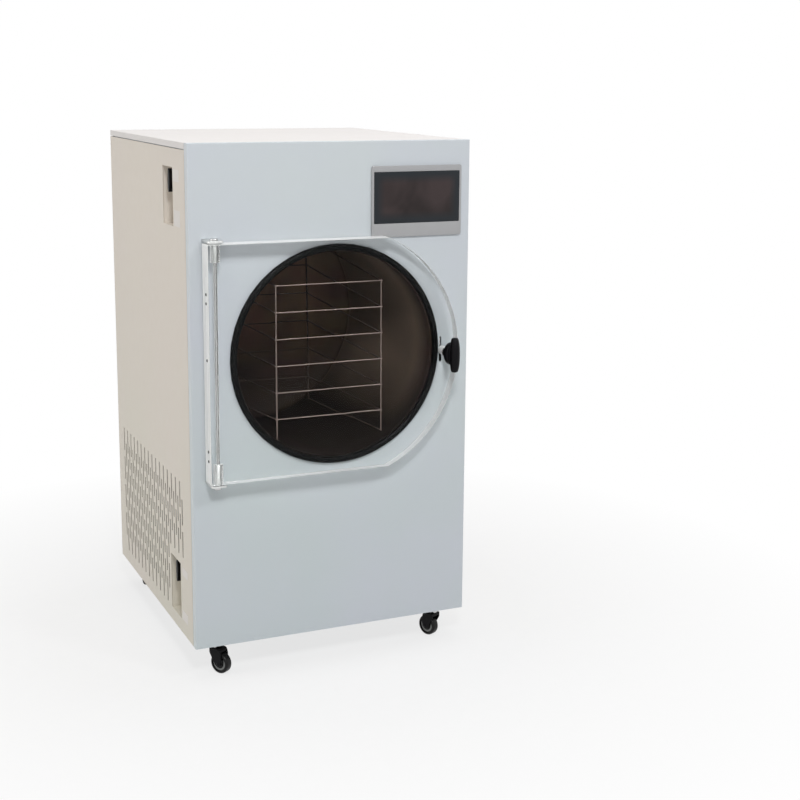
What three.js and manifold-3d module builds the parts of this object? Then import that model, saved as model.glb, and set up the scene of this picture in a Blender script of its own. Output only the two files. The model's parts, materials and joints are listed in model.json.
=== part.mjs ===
// A cabinet freeze dryer on casters: a round vacuum chamber behind a thick clear door, a sheet metal
// cabinet with slotted sides, and the refrigeration and vacuum machinery below the chamber.
// Millimetres, +Z up. X runs from the machine's left to its right, Y from front to back.
// The origin is on the floor, under the middle of the whole machine.

import * as THREE from 'three';
import { mergeVertices } from 'three/addons/utils/BufferGeometryUtils.js';
import Module from 'manifold-3d';

const wasm = await Module();
wasm.setup();

// Fits
const fitGap = 0.3; // between parts that seat on each other
const holeClearance = 0.5; // around what passes through a sheet

// Cabinet
const cabinetWidth = 680;
const cabinetDepth = 720;
const screenHeadroom = 57; // cabinet above the screen, which gives its height
const sheet = 1.5;
const foldRadius = 2;
const innerBend = 0.5; // least inside radius of a fold
const seam = 2; // visible joint between two panels
const frontReturn = 20; // folded edge of the front panel
const sideReturn = 12; // rear folded edge of the side panels
const coverLip = 14;
const panSheet = 2.5;
const panLip = 26;

// Inner frame of steel angle
const angleLeg = 25;
const angleThickness = 3;
const deckHeight = 372; // top of the deck rails above the cabinet's bottom
const deckSheet = 2;
const shoulderGap = 4.7; // from the insulation or the upper ear to the top of the control box rails
const controlRailFront = 330; // front control rail, from the front face
const controlRailRear = 590;

// Chamber
const chamberLift = 14.4; // insulation above the deck
const chamberRadius = 235;
const chamberWall = 3;
const chamberRearSpace = 137.7; // insulation to the back of the cabinet
const chamberDish = 45; // bulge of the closed end
const flangeMargin = 2; // flange beyond the seal
const flangeThickness = 8;
const jacketThickness = 40;
const gasketSetback = 3; // seal's inner edge outside the chamber's bore
const gasketWidth = 14;
const gasketBevel = 2.5; // rise of the seal's lip at its edges
const gasketBevelWidth = 4;
const ringSides = 40;
const hoseOverlap = 1; // hose over the rim of the vacuum port
const vacuumPortWall = 3;
const vacuumPortLength = 30;
const drainBoreRadius = 5;
const ventPortX = -117; // vent pipe's foot, from the chamber's axis
const hosePassageX = 90; // hose's way through the deck, from the middle
const hosePassageReach = 53; // passage beyond the hose on each side
const hosePassageMargin = 11; // passage beyond the hose in front and behind
const passageEdge = 10; // deck between its passages and the rear rail
const cradleFront = 40; // front cradle, from the insulation's front
const cradleRear = 80; // rear cradle, from the insulation's back
const cradleReachShare = 0.62; // of the insulation's radius that a cradle spans
const cradleSheet = 6;
const cradleFoot = 30;
const cradleFootSheet = 3;

// Door
const doorStandoff = 10; // panel to the door's back face
const doorThickness = 45;
const doorRim = 39; // rounded edge beyond the seal
const doorMargin = 16; // straight edges above and below the seal
const doorInset = 27; // door's hinged edge from the cabinet's side
const hingeInset = 48; // hinge axis from the cabinet's side
const rodRadius = 4;
const bushRadius = 11;
const rodPlay = 0.4; // rod in its bushes
const upperBushLength = 40;
const lowerBushLength = 46;
const bushCollar = 2.2;
const earThickness = 5;
const earGap = 2.5; // between the door and an ear
const earHalfWidth = 18;
const earReach = 50; // in front of the panel
const earCorner = 9;
const earTab = 40;
const rodHeadRadius = 9;
const rodHeadHeight = 4;
const rodNutRadius = 8;
const rodNutHeight = 7;
const rodTail = 2; // rod below its nut
const stripWidth = 5;
const stripThickness = 1.5;
const stripMargin = 71; // strip's ends to the door's corners
const stripSetback = 15; // strip's near edge from the door's front face

// Latch
const boreSides = 16; // sides of the bushes and of the bores that hold them
const latchOffset = 6; // latch axis outside the chamber's flange
const latchDrop = 6; // latch axis below the chamber's axis
const latchHookLength = 27; // from the latch axis
const latchHookHeel = 3;
const latchHookWidth = 5;
const latchHookDepth = 5;
const latchSlotMargin = 3; // slot beyond the hook at each end
const latchSlotWidth = 8;
const latchNeckRadius = 3;
const latchShaftRadius = 5.7;
const latchBushRadius = 10;
const latchFlangeRadius = 13;
const latchFlange = 3;
const keeperThickness = 3;
const keeperMargin = 12;
const knobHubRadius = 23;
const knobHubDepth = 25;
const knobWingHeight = 83;
const knobWingWidth = 13;
const knobWingDepth = 29;

// Touch screen
const screenWidth = 226.5;
const screenHeight = 163;
const screenInset = 23.5; // from the cabinet's right side
const screenDrop = 5; // bezel's lower edge below the top of the door
const bezelDepth = 6;
const bezelSide = 5;
const bezelTop = 13.5;
const bezelBottom = 31;
const glassThickness = 2;
const glassBed = 0.5; // glass behind the bezel's rim
const screenCorner = 5;
const screenBoxDepth = 36;
const screenBoxMargin = 14; // bezel overlap round the box behind the panel

// Tray rack
const rackClearance = 32.8; // top corners to the chamber's wall
const rackCornerAngle = 50.7; // degrees of the top corners above the chamber's axis
const rackFront = 45; // from the front face
const rackDishClearance = 22.3; // back posts to the start of the chamber's dish
const rackLevels = 6;
const rackFootRise = 39.8; // lowest shelf above the foot rails
const rackWire = 1.5;
const rackPost = 2;
const rackOverhang = 4; // foot rails beyond the posts, and the posts above the top shelf

// Valve pockets in the left side
const pocketFront = 119; // from the front face
const pocketWidth = 84;
const pocketDepth = 34;
const pocketSheet = 1.2;
const pocketLip = 8;
const ventPocketRise = 9.5; // above the control box rails
const ventPocketHeight = 132;
const drainPocketRise = 7; // above the pan's lip
const drainPocketHeight = 135.5;
const drainSpoutRise = 30; // spout above its pocket's bottom
const valveFromFront = 160;
const leverLength = 54;
const leverWidth = 13;
const leverDepth = 9;
const leverInset = 1.5; // lever's face behind the cabinet's side
const leverClearance = 4.5; // lever's end to the top of its pocket
const leverHubRadius = 8.5;
const stemRadius = 4;
const bossWall = 3; // round the stem
const bossReach = 6; // into the pocket
const valveRadius = 13;
const valveEndRadius = 9;
const valveEndLength = 12;
const valveLength = 56;
const valveSetback = 15.5; // valve's middle behind the pocket
const spoutReach = 18; // into the pocket

// Cooling slots in the sides
const slotHeight = 62;
const slotWidth = 8;
const slotPitch = 36.3;
const slotRowPitch = 78;
const slotTop = 369; // top of the first row above the cabinet's bottom
const slotLeast = 30; // least height of a slot above the cabinet's bottom
const slotFront = 114; // first column from the front face
const slotRear = 50; // least distance of a column from the back
const slotStagger = 18.15; // second set of columns, towards the front
const slotStaggerDrop = 39;
const rightSlotSkip = 7; // columns left out at the front of the right side
const slotPocketMargin = 12; // least sheet between a slot and a pocket

// Slots in the back
const rearSlotColumns = 8;
const rearSlotPitch = 24;
const rearSlotLow = 150; // lower row above the cabinet's bottom
const rearSlotHigh = 170; // upper row below the cabinet's top
const rearSlotShift = -120;

// Power inlet in the back
const inletX = 210;
const inletHeight = 130;
const inletWidth = 50;
const inletTall = 28;
const inletDepth = 30;
const inletFlange = 5;
const inletFlangeThickness = 3;
const inletWall = 3;
const inletCheek = 8; // extra wall at each end of the socket
const inletPinWidth = 3;
const inletPinHeight = 8;
const inletPinPitch = 10;
const inletPinSetback = 6; // pins behind the back panel's face

// Refrigeration
const coilOuter = 40; // coil's face from the cabinet's side
const coilThickness = 45;
const coilFront = 240;
const coilLength = 320;
const coilHeadroom = 59.5; // below the deck
const coilLift = 20; // above the pan
const coilPlate = 3; // end plates and the spine that carries the fins
const coilStub = 20; // tube ends behind the coil
const finPitch = 20;
const finThickness = 2;
const fanRadius = 112;
const fanClearance = 4;
const fanBlades = 5;
const fanDepth = 24;
const fanHubRadius = 26;
const bladeRoot = 20;
const bladeChord = 62;
const bladeSheet = 2;
const shroudSheet = 2;
const shroudRim = 3;
const shroudGap = 4; // shroud's plate from the coil
const spiderArms = 3;
const spiderArmWidth = 12;
const spiderDepth = 5;
const motorRadius = 42;
const motorLength = 60;
const fanShaftRadius = 4;
const compressorX = 150;
const compressorGap = 18; // pump to the compressor's terminal box
const terminalBoxDepth = 22;
const compressorRadius = 100;
const compressorHeight = 260;
const compressorLift = 14; // shell above its rubber feet's bottom
const pipeRadius = 5;
const stubLength = 14; // pipe stubs on the compressor
const drierGap = 5; // drier's axis beside the coil
const drierRadius = 19;
const drierLength = 110;

// Vacuum pump
const pumpX = 110;
const pumpFront = 120;
const pumpBlockWidth = 110;
const pumpBlockDepth = 120;
const pumpBlockHeight = 130;
const pumpMotorRadius = 66;
const pumpMotorLength = 140;
const pumpFins = 8;
const pumpFinDepth = 6;
const pumpEndCover = 14;
const pumpBaseReach = 6; // base plate beyond the oil case
const pumpFootHeight = 8;
const pumpBaseSheet = 6;
const pumpPortRise = 22;
const pumpFilterRise = 40;
const pumpHandleRise = 34;
const hoseRadius = 17;

// Control box
const controlX = 40; // left face, from the machine's middle
const controlWidth = 200;
const controlHeight = 90;
const controlClearance = 12; // to the rails in front and behind
const cableGlandRadius = 9;
const cableGlandReach = 12;

// Casters
const casterInsetX = 62;
const casterInsetY = 42;
const wheelRadius = 25;
const wheelWidth = 20;
const wheelSides = 14; // a flat of the tyre rests on the floor
const axleRadius = 3;
const axlePlay = 0.4; // axle in the wheel
const casterTrail = 12;
const casterPlateSize = 52;
const casterPlateSheet = 2.5;
const wheelHeadroom = 3; // wheel to the fork's crown
const crownHeight = 9;
const crownHalfWidth = 12;
const swivelRise = 17; // race and plate above the crown
const kingpinRadius = 4;
const raceRadius = 18;
const cheekThickness = 3;
const cheekGap = 1.2;

// Places worked out from the sizes above. Heights are above the floor, depths are from the front face.
const halfWidth = cabinetWidth / 2;
const crownTop = 2 * wheelRadius + wheelHeadroom + crownHeight;
const baseZ = crownTop + swivelRise;
const panFloor = baseZ + panSheet;
const rearFace = cabinetDepth + fitGap + inletFlangeThickness;
const insideX = halfWidth - sheet - fitGap;
const panBack = cabinetDepth - 2 * (sheet + fitGap);
const frameX = insideX - panSheet - fitGap;
const frameFront = sheet + fitGap + panSheet + fitGap;
const frameBack = panBack - panSheet - fitGap;

const drumOuter = chamberRadius + chamberWall;
const jacketInner = drumOuter + fitGap;
const jacketOuter = jacketInner + jacketThickness;
const deckZ = baseZ + deckHeight;
const deckTop = deckZ + fitGap + deckSheet;
const chamberZ = deckTop + chamberLift + jacketOuter;
const gasketInner = chamberRadius + gasketSetback;
const gasketOuter = gasketInner + gasketWidth;
const flangeRadius = gasketOuter + flangeMargin;

const doorArcRadius = gasketOuter + doorRim;
const doorHalfHeight = gasketOuter + doorMargin;
const doorTop = chamberZ + doorHalfHeight;
const doorBottom = chamberZ - doorHalfHeight;
const doorFront = -doorStandoff - doorThickness;
const doorLeft = doorInset - halfWidth;
const hingeX = hingeInset - halfWidth;
const hingeY = -doorStandoff - doorThickness / 2;
const bushBore = rodRadius + rodPlay;
const upperEar = [doorTop + earGap, doorTop + earGap + earThickness];
const lowerEar = [doorBottom - earGap - earThickness, doorBottom - earGap];
const shoulderZ = Math.max(chamberZ + jacketOuter, upperEar[1]) + shoulderGap;

const latchX = flangeRadius + latchOffset;
const latchZ = chamberZ - latchDrop;
const latchSlotHeight = 2 * (latchHookLength + latchSlotMargin);
const keeperFront = sheet + fitGap;
const keeperBack = keeperFront + keeperThickness;
const hookFront = keeperBack + fitGap;
const hookBack = hookFront + latchHookDepth;
const knobBack = doorFront - latchFlange - 2 * fitGap;
const hubFront = knobBack - knobHubDepth;
const knobFront = hubFront - knobWingDepth;
const knobShaftEnd = knobBack - knobHubDepth * 0.6;

const screenRight = halfWidth - screenInset;
const screenLeft = screenRight - screenWidth;
const screenBottom = doorTop - screenDrop;
const screenTop = screenBottom + screenHeight;
const roofZ = screenTop + screenHeadroom;
const panelTop = roofZ - coverLip - seam;

const flangeFace = sheet + holeClearance + fitGap;
const jacketFront = Math.max(flangeFace + flangeThickness + fitGap, hookBack + holeClearance);
const jacketBack = cabinetDepth - chamberRearSpace;
const drumBack = jacketBack - jacketThickness;
const dishStart = drumBack - chamberDish;
const rackBack = dishStart - rackDishClearance;
const vacuumPortRadius = hoseRadius - hoseOverlap;
const vacuumPortOuter = vacuumPortRadius + vacuumPortWall;
const vacuumPortEnd = drumBack + vacuumPortLength;

const ventPocketBottom = shoulderZ + ventPocketRise;
const ventPocketTop = ventPocketBottom + ventPocketHeight;
const ventValveZ = ventPocketTop - leverClearance - leverLength / 2;
const drainPocketBottom = baseZ + panLip + drainPocketRise;
const drainPocketTop = drainPocketBottom + drainPocketHeight;
const drainValveZ = drainPocketTop - leverClearance - leverLength / 2;
const drainSpoutZ = drainPocketBottom + drainSpoutRise;
const pocketFace = -halfWidth + sheet + fitGap;
const pocketInner = pocketFace + pocketDepth; // back wall of a pocket, seen from outside
const valveX = pocketInner + pocketSheet + valveSetback;

const coilX = -halfWidth + coilOuter;
const coilInner = coilX + coilThickness;
const coilBack = coilFront + coilLength;
const coilMiddle = coilX + coilThickness / 2;
const coilBottom = panFloor + coilLift;
const coilHeight = deckZ - coilHeadroom - coilBottom;
const fanY = coilFront + coilLength / 2;
const fanZ = coilBottom + coilHeight / 2;
const shroudX = coilInner + shroudGap;
const rotorStart = shroudX + shroudSheet + 3;
const rotorEnd = rotorStart + fanDepth;
const spiderX = rotorEnd + 6;
const spiderEnd = spiderX + spiderDepth;
const passageY = frameBack - angleLeg - passageEdge - hosePassageMargin - hoseRadius;
const deckPassages = {
  hose: [hosePassageX, passageY],
  liquid: [coilInner + drierGap, passageY],
  drain: [0, 150],
};
const machineBase = panFloor + fitGap; // what stands on the pan
const pumpBlockBack = pumpFront + pumpBlockDepth;
const pumpBack = pumpBlockBack + pumpMotorLength;
const compressorY = pumpBack + compressorGap + terminalBoxDepth + compressorRadius;
const compressorTop = machineBase + compressorHeight;

const looks = {
  frontPaint: { color: 0xdfe3e4, roughness: 0.45, metalness: 0 },
  sidePaint: { color: 0xe4dfd6, roughness: 0.45, metalness: 0 },
  galvanised: { color: 0xa9adb0, roughness: 0.5, metalness: 0.8 },
  stainless: { color: 0xb8b6b2, roughness: 0.3, metalness: 0.9 },
  brightSteel: { color: 0xc9cacc, roughness: 0.2, metalness: 1 },
  brass: { color: 0xb9964d, roughness: 0.35, metalness: 1 },
  copper: { color: 0xb0714d, roughness: 0.35, metalness: 1 },
  blackRubber: { color: 0x161618, roughness: 0.7, metalness: 0 },
  blackPlastic: { color: 0x1a1a1c, roughness: 0.4, metalness: 0 },
  blackFoam: { color: 0x242426, roughness: 0.95, metalness: 0 },
  blackEnamel: { color: 0x141416, roughness: 0.3, metalness: 0.2 },
  greyBezel: { color: 0xa8aaad, roughness: 0.4, metalness: 0.3 },
  darkGlass: { color: 0x1d1a1b, roughness: 0.1, metalness: 0 },
  clearAcrylic: { color: 0xe9f0ee, roughness: 0.05, metalness: 0, transparent: true, opacity: 0.3 },
  whiteEnamel: { color: 0xd9d8d2, roughness: 0.5, metalness: 0 },
};
const materials = {};
for (const [name, look] of Object.entries(looks)) {
  materials[name] = new THREE.MeshStandardMaterial(look);
}

// Solids

// One closed surface: shared corners merged, empty triangles dropped, faces outwards.
function closed(geometry) {
  const plain = geometry.index ? geometry.toNonIndexed() : geometry.clone();
  for (const name of Object.keys(plain.attributes)) {
    if (name !== 'position') plain.deleteAttribute(name);
  }
  const merged = mergeVertices(plain, 1e-4);
  const corners = merged.index.array;
  const kept = [];
  for (let i = 0; i < corners.length; i += 3) {
    const [a, b, c] = [corners[i], corners[i + 1], corners[i + 2]];
    if (a !== b && b !== c && c !== a) kept.push(a, b, c);
  }
  const place = merged.getAttribute('position');
  const [p, q, r] = [new THREE.Vector3(), new THREE.Vector3(), new THREE.Vector3()];
  let volume = 0;
  for (let i = 0; i < kept.length; i += 3) {
    p.fromBufferAttribute(place, kept[i]);
    q.fromBufferAttribute(place, kept[i + 1]);
    r.fromBufferAttribute(place, kept[i + 2]);
    volume += p.dot(q.cross(r));
  }
  if (volume < 0) kept.reverse();
  const result = new THREE.BufferGeometry();
  result.setAttribute('position', place);
  result.setIndex(kept);
  return result;
}

function toSolid(geometry) {
  const { index, attributes } = closed(geometry);
  return new wasm.Manifold(new wasm.Mesh({
    numProp: 3,
    vertProperties: new Float32Array(attributes.position.array),
    triVerts: new Uint32Array(index.array),
  }));
}

function toGeometry(solid) {
  const mesh = solid.getMesh();
  const geometry = new THREE.BufferGeometry();
  geometry.setAttribute('position', new THREE.BufferAttribute(mesh.vertProperties, 3));
  geometry.setIndex(new THREE.BufferAttribute(mesh.triVerts, 1));
  return geometry;
}

const joined = (...parts) => toGeometry(parts.map(toSolid).reduce((whole, part) => whole.add(part)));
const shared = (one, other) => toGeometry(toSolid(one).intersect(toSolid(other)));
const cut = (body, ...tools) =>
  toGeometry(tools.map(toSolid).reduce((whole, tool) => whole.subtract(tool), toSolid(body)));

// Sends a geometry's own x, y and z to the axes named in order, so 'xzy' stands a plan shape upright.
function turnedTo(axes, geometry) {
  const unit = {
    x: new THREE.Vector3(1, 0, 0),
    y: new THREE.Vector3(0, 1, 0),
    z: new THREE.Vector3(0, 0, 1),
  };
  const basis = new THREE.Matrix4().makeBasis(unit[axes[0]], unit[axes[1]], unit[axes[2]]);
  return geometry.applyMatrix4(basis);
}

// Extrudes a shape drawn on the first two named axes from low to high along the third.
function prism(axes, shapes, low, high, curveSegments = 6) {
  const options = { depth: high - low, bevelEnabled: false, curveSegments };
  return closed(turnedTo(axes, new THREE.ExtrudeGeometry(shapes, options).translate(0, 0, low)));
}

function block(x0, x1, y0, y1, z0, z1) {
  const geometry = new THREE.BoxGeometry(x1 - x0, y1 - y0, z1 - z0);
  return closed(geometry.translate((x0 + x1) / 2, (y0 + y1) / 2, (z0 + z1) / 2));
}

// Turns a profile of [radius, distance along the axis] pairs about an axis through a point.
const latheAxes = { x: 'yxz', y: 'xyz', z: 'xzy' };
function turned(axis, centre, profile, sides, startAngle = 0) {
  const points = profile.map(([radius, along]) => new THREE.Vector2(radius, along));
  const lathe = new THREE.LatheGeometry(points, sides, startAngle);
  return closed(turnedTo(latheAxes[axis], lathe).translate(...centre));
}

const rod = (axis, centre, radius, low, high, sides) =>
  turned(axis, centre, [[0, low], [radius, low], [radius, high], [0, high]], sides);

// A pipe of round section along a smooth curve through its points.
function pipe(points, radius, sides, steps) {
  const stations = points.map((point) => new THREE.Vector3(...point));
  const path = new THREE.CatmullRomCurve3(stations, false, 'centripetal');
  const corners = [];
  for (let i = 0; i < sides; i += 1) {
    const angle = (2 * Math.PI * i) / sides;
    corners.push(new THREE.Vector2(radius * Math.cos(angle), radius * Math.sin(angle)));
  }
  const options = { steps, bevelEnabled: false, extrudePath: path };
  return closed(new THREE.ExtrudeGeometry(new THREE.Shape(corners), options));
}

// Shapes

function rectangle(u0, v0, u1, v1) {
  return new THREE.Shape().moveTo(u0, v0).lineTo(u1, v0).lineTo(u1, v1).lineTo(u0, v1);
}

function roundedRectangle(u0, v0, u1, v1, radius) {
  return new THREE.Shape()
    .moveTo(u0 + radius, v0)
    .lineTo(u1 - radius, v0).quadraticCurveTo(u1, v0, u1, v0 + radius)
    .lineTo(u1, v1 - radius).quadraticCurveTo(u1, v1, u1 - radius, v1)
    .lineTo(u0 + radius, v1).quadraticCurveTo(u0, v1, u0, v1 - radius)
    .lineTo(u0, v0 + radius).quadraticCurveTo(u0, v0, u0 + radius, v0);
}

function circle(u, v, radius) {
  return new THREE.Shape().absarc(u, v, radius, 0, 2 * Math.PI, false);
}

// An upright slot with round ends, given by its middle and its whole width and height.
function slot(u, v, width, height) {
  const radius = width / 2;
  const reach = height / 2 - radius;
  return new THREE.Shape()
    .moveTo(u + radius, v - reach)
    .lineTo(u + radius, v + reach).absarc(u, v + reach, radius, 0, Math.PI, false)
    .lineTo(u - radius, v - reach).absarc(u, v - reach, radius, Math.PI, 2 * Math.PI, false);
}

// Section of a sheet across one direction, with its bent corners rounded on the face.
function foldSection(low, high, face, edge, radius, foldLow, foldHigh) {
  const inwards = Math.sign(edge - face);
  const bendEnd = face + inwards * radius;
  const shape = new THREE.Shape().moveTo(low, edge);
  if (foldLow) {
    shape.lineTo(low, bendEnd).quadraticCurveTo(low, face, low + radius, face);
  } else {
    shape.lineTo(low, face);
  }
  if (foldHigh) {
    shape.lineTo(high - radius, face).quadraticCurveTo(high, face, high, bendEnd);
  } else {
    shape.lineTo(high, face);
  }
  return shape.lineTo(high, edge);
}

// A sheet that faces along one axis and is folded back along some of its edges. It covers u0 to u1 and
// v0 to v1 on the other two axes. Its folded edges run from its face to edge.
function foldedSheet(axes, [u0, v0, u1, v1], face, edge, thickness, folds) {
  const [u, v, across] = axes;
  const inwards = Math.sign(edge - face);
  const has = (side) => folds.includes(side);
  const folded = ([low, high, start, end], near, far, radius) => {
    const along = foldSection(low, high, near, far, radius, has('u0'), has('u1'));
    const upright = foldSection(start, end, near, far, radius, has('v0'), has('v1'));
    return shared(
      prism(u + across + v, along, start, end, 3),
      prism(v + across + u, upright, low, high, 3),
    );
  };
  const inset = (side, value, sign) => value + sign * (has(side) ? thickness : -1);
  const hollow = [inset('u0', u0, 1), inset('u1', u1, -1), inset('v0', v0, 1), inset('v1', v1, -1)];
  const bend = Math.max(foldRadius - thickness, innerBend);
  return cut(
    folded([u0, u1, v0, v1], face, edge, foldRadius),
    folded(hollow, face + inwards * thickness, edge + inwards, bend),
  );
}

// Steel angle along one axis, with its corner at (u, v) on the other two and its legs towards the signs.
function angleBar(axes, u, v, uSign, vSign, low, high) {
  const shape = new THREE.Shape()
    .moveTo(u, v)
    .lineTo(u + uSign * angleLeg, v)
    .lineTo(u + uSign * angleLeg, v + vSign * angleThickness)
    .lineTo(u + uSign * angleThickness, v + vSign * angleThickness)
    .lineTo(u + uSign * angleThickness, v + vSign * angleLeg)
    .lineTo(u, v + vSign * angleLeg);
  return prism(axes, shape, low, high);
}

const machine = new THREE.Group();
machine.position.y = -(knobFront + rearFace) / 2;

function addPiece(name, geometry, material, parent = machine) {
  const mesh = new THREE.Mesh(closed(geometry), materials[material]);
  mesh.name = name;
  mesh.geometry.computeVertexNormals();
  parent.add(mesh);
  return mesh;
}

// Cabinet shells

function addBasePan() {
  const pan = foldedSheet(
    'xyz', [-insideX, sheet + fitGap, insideX, panBack],
    baseZ, baseZ + panLip, panSheet, ['u0', 'u1', 'v0', 'v1'],
  );
  addPiece('base_pan', pan, 'galvanised');
}

function addInnerFrame() {
  const bars = [];
  for (const side of [-1, 1]) {
    const x = side * frameX;
    bars.push(angleBar('xyz', x, frameFront, -side, 1, panFloor + fitGap, roofZ - sheet - fitGap));
    bars.push(angleBar('xyz', x, frameBack, -side, -1, panFloor + fitGap, roofZ - sheet - fitGap));
    for (const top of [deckZ, shoulderZ, roofZ - sheet - fitGap]) {
      bars.push(angleBar('xzy', x, top, -side, -1, frameFront, frameBack));
    }
  }
  for (const top of [deckZ, roofZ - sheet - fitGap]) {
    bars.push(angleBar('yzx', frameFront, top, 1, -1, -frameX, frameX));
    bars.push(angleBar('yzx', frameBack, top, -1, -1, -frameX, frameX));
  }
  for (const y of [controlRailFront, controlRailRear]) {
    bars.push(angleBar('yzx', y, shoulderZ - angleThickness, 1, 1, -frameX, frameX));
  }
  addPiece('inner_frame', joined(...bars), 'galvanised');
}

function addFrontPanel() {
  const panel = foldedSheet(
    'xzy', [-halfWidth, baseZ, halfWidth, roofZ], 0, frontReturn, sheet, ['u0', 'u1', 'v1'],
  );
  const through = (shape, segments) => prism('xzy', shape, -1, sheet + 1, segments);
  const clearOf = ([x0, z0, x1, z1]) =>
    rectangle(x0 - holeClearance, z0 - holeClearance, x1 + holeClearance, z1 + holeClearance);
  const cuts = [through(circle(0, chamberZ, gasketOuter + holeClearance), ringSides / 2)];
  for (const [low, high] of [upperEar, lowerEar]) {
    cuts.push(through(clearOf([hingeX - earHalfWidth, low, hingeX + earHalfWidth, high])));
  }
  cuts.push(through(slot(latchX, latchZ, latchSlotWidth, latchSlotHeight), 3));
  cuts.push(through(clearOf(screenBoxOutline())));
  addPiece('front_panel', cut(panel, ...cuts), 'frontPaint');
}

// Upright punched slots in two sets of columns, the second set lower and half a pitch forward.
// Slots that would come too near the drain pocket are left out.
function coolingSlots(hasPocket, firstColumn) {
  const shapes = [];
  const [reachY, reachZ] = [slotWidth / 2, slotHeight / 2];
  const columns = Math.floor((cabinetDepth - slotRear - slotFront) / slotPitch) + 1;
  const lowest = slotTop - slotStaggerDrop - slotHeight - slotLeast;
  const rows = Math.floor(lowest / slotRowPitch) + 1;
  const pocketBack = pocketFront + pocketWidth;
  const nearPocket = (y, z) => y - reachY < pocketBack + slotPocketMargin
    && z - reachZ < drainPocketTop + slotPocketMargin;
  const sets = [[slotFront, slotTop], [slotFront - slotStagger, slotTop - slotStaggerDrop]];
  for (const [firstY, firstTop] of sets) {
    for (let column = firstColumn; column < columns; column += 1) {
      const y = firstY + column * slotPitch;
      for (let row = 0; row < rows; row += 1) {
        const z = baseZ + firstTop - reachZ - row * slotRowPitch;
        if (hasPocket && nearPocket(y, z)) continue;
        shapes.push(rectangle(y - reachY, z - reachZ, y + reachY, z + reachZ));
      }
    }
  }
  return shapes;
}

function sidePanel(side, openings) {
  const face = side * halfWidth;
  const inner = side * (halfWidth - sheet);
  const panel = foldedSheet(
    'yzx', [frontReturn + seam, baseZ, cabinetDepth - sheet - fitGap, panelTop],
    face, side * (halfWidth - sideReturn), sheet, ['u1'],
  );
  const [low, high] = [Math.min(face, inner) - 1, Math.max(face, inner) + 1];
  return cut(panel, prism('yzx', openings, low, high));
}

function addSidePanels() {
  const pocketBack = pocketFront + pocketWidth;
  const pocketHoles = [
    rectangle(pocketFront, ventPocketBottom, pocketBack, ventPocketTop),
    rectangle(pocketFront, drainPocketBottom, pocketBack, drainPocketTop),
  ];
  addPiece('left_side_panel', sidePanel(-1, [...coolingSlots(true, 0), ...pocketHoles]), 'sidePaint');
  addPiece('right_side_panel', sidePanel(1, coolingSlots(false, rightSlotSkip)), 'sidePaint');
}

function addBackPanel() {
  const [reachX, reachZ] = [slotWidth / 2, slotHeight / 2];
  const openings = [];
  for (const z of [baseZ + rearSlotLow, roofZ - rearSlotHigh]) {
    for (let column = 0; column < rearSlotColumns; column += 1) {
      const x = rearSlotShift + (column - (rearSlotColumns - 1) / 2) * rearSlotPitch;
      openings.push(rectangle(x - reachX, z - reachZ, x + reachX, z + reachZ));
    }
  }
  const inletZ = baseZ + inletHeight;
  const [inletReachX, inletReachZ] = [inletWidth / 2 + holeClearance, inletTall / 2 + holeClearance];
  openings.push(rectangle(
    inletX - inletReachX, inletZ - inletReachZ, inletX + inletReachX, inletZ + inletReachZ,
  ));
  const panel = block(-halfWidth, halfWidth, cabinetDepth - sheet, cabinetDepth, baseZ, panelTop);
  const holes = prism('xzy', openings, cabinetDepth - sheet - 1, cabinetDepth + 1);
  addPiece('back_panel', cut(panel, holes), 'sidePaint');
}

function addTopCover() {
  const cover = foldedSheet(
    'xyz', [-halfWidth, frontReturn + seam, halfWidth, cabinetDepth],
    roofZ, roofZ - coverLip, sheet, ['u0', 'u1', 'v1'],
  );
  addPiece('top_cover', cover, 'sidePaint');
}

// Chamber

function addDeck() {
  const edge = angleThickness + fitGap;
  const outline = rectangle(-frameX, frameFront + edge, frameX, frameBack - edge);
  const deck = prism('xyz', outline, deckZ + fitGap, deckTop);
  const post = angleLeg + holeClearance;
  const corners = [];
  for (const [left, right] of [[-frameX - 1, -frameX + post], [frameX - post, frameX + 1]]) {
    corners.push(block(left, right, frameFront - 1, frameFront + post, deckZ, deckTop + 1));
    corners.push(block(left, right, frameBack - post, frameBack + 1, deckZ, deckTop + 1));
  }
  const [hoseX, hoseY] = deckPassages.hose;
  const [reachX, reachY] = [hoseRadius + hosePassageReach, hoseRadius + hosePassageMargin];
  const passages = [
    roundedRectangle(hoseX - reachX, hoseY - reachY, hoseX + reachX, hoseY + reachY, 10),
    circle(...deckPassages.liquid, pipeRadius + 4),
    circle(...deckPassages.drain, pipeRadius + 4),
  ];
  const through = prism('xyz', passages, deckZ, deckTop + 1, 4);
  addPiece('chamber_deck', cut(deck, ...corners, through), 'galvanised');
}

function addDrum() {
  const dish = (radius, offset) => {
    const points = [];
    for (const turn of [0, 0.6]) {
      const angle = (turn * Math.PI) / 2;
      points.push([radius * Math.cos(angle), dishStart + (chamberDish - offset) * Math.sin(angle)]);
    }
    return points;
  };
  const profile = [
    [chamberRadius, flangeFace],
    ...dish(chamberRadius, chamberWall),
    [vacuumPortRadius, drumBack - chamberWall],
    [vacuumPortRadius, vacuumPortEnd],
    [vacuumPortOuter, vacuumPortEnd],
    [vacuumPortOuter, drumBack],
    ...dish(drumOuter, 0).reverse(),
    [drumOuter, flangeFace + flangeThickness],
    [flangeRadius, flangeFace + flangeThickness],
    [flangeRadius, flangeFace],
    [chamberRadius, flangeFace],
  ];
  const drum = turned('y', [0, 0, chamberZ], profile, ringSides);
  const [outside, inside] = [chamberZ - drumOuter - 5, chamberZ - chamberRadius + 5];
  const drain = rod('z', [...deckPassages.drain, 0], drainBoreRadius, outside, inside, 8);
  addPiece('chamber_drum', cut(drum, drain), 'stainless');
}

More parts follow.
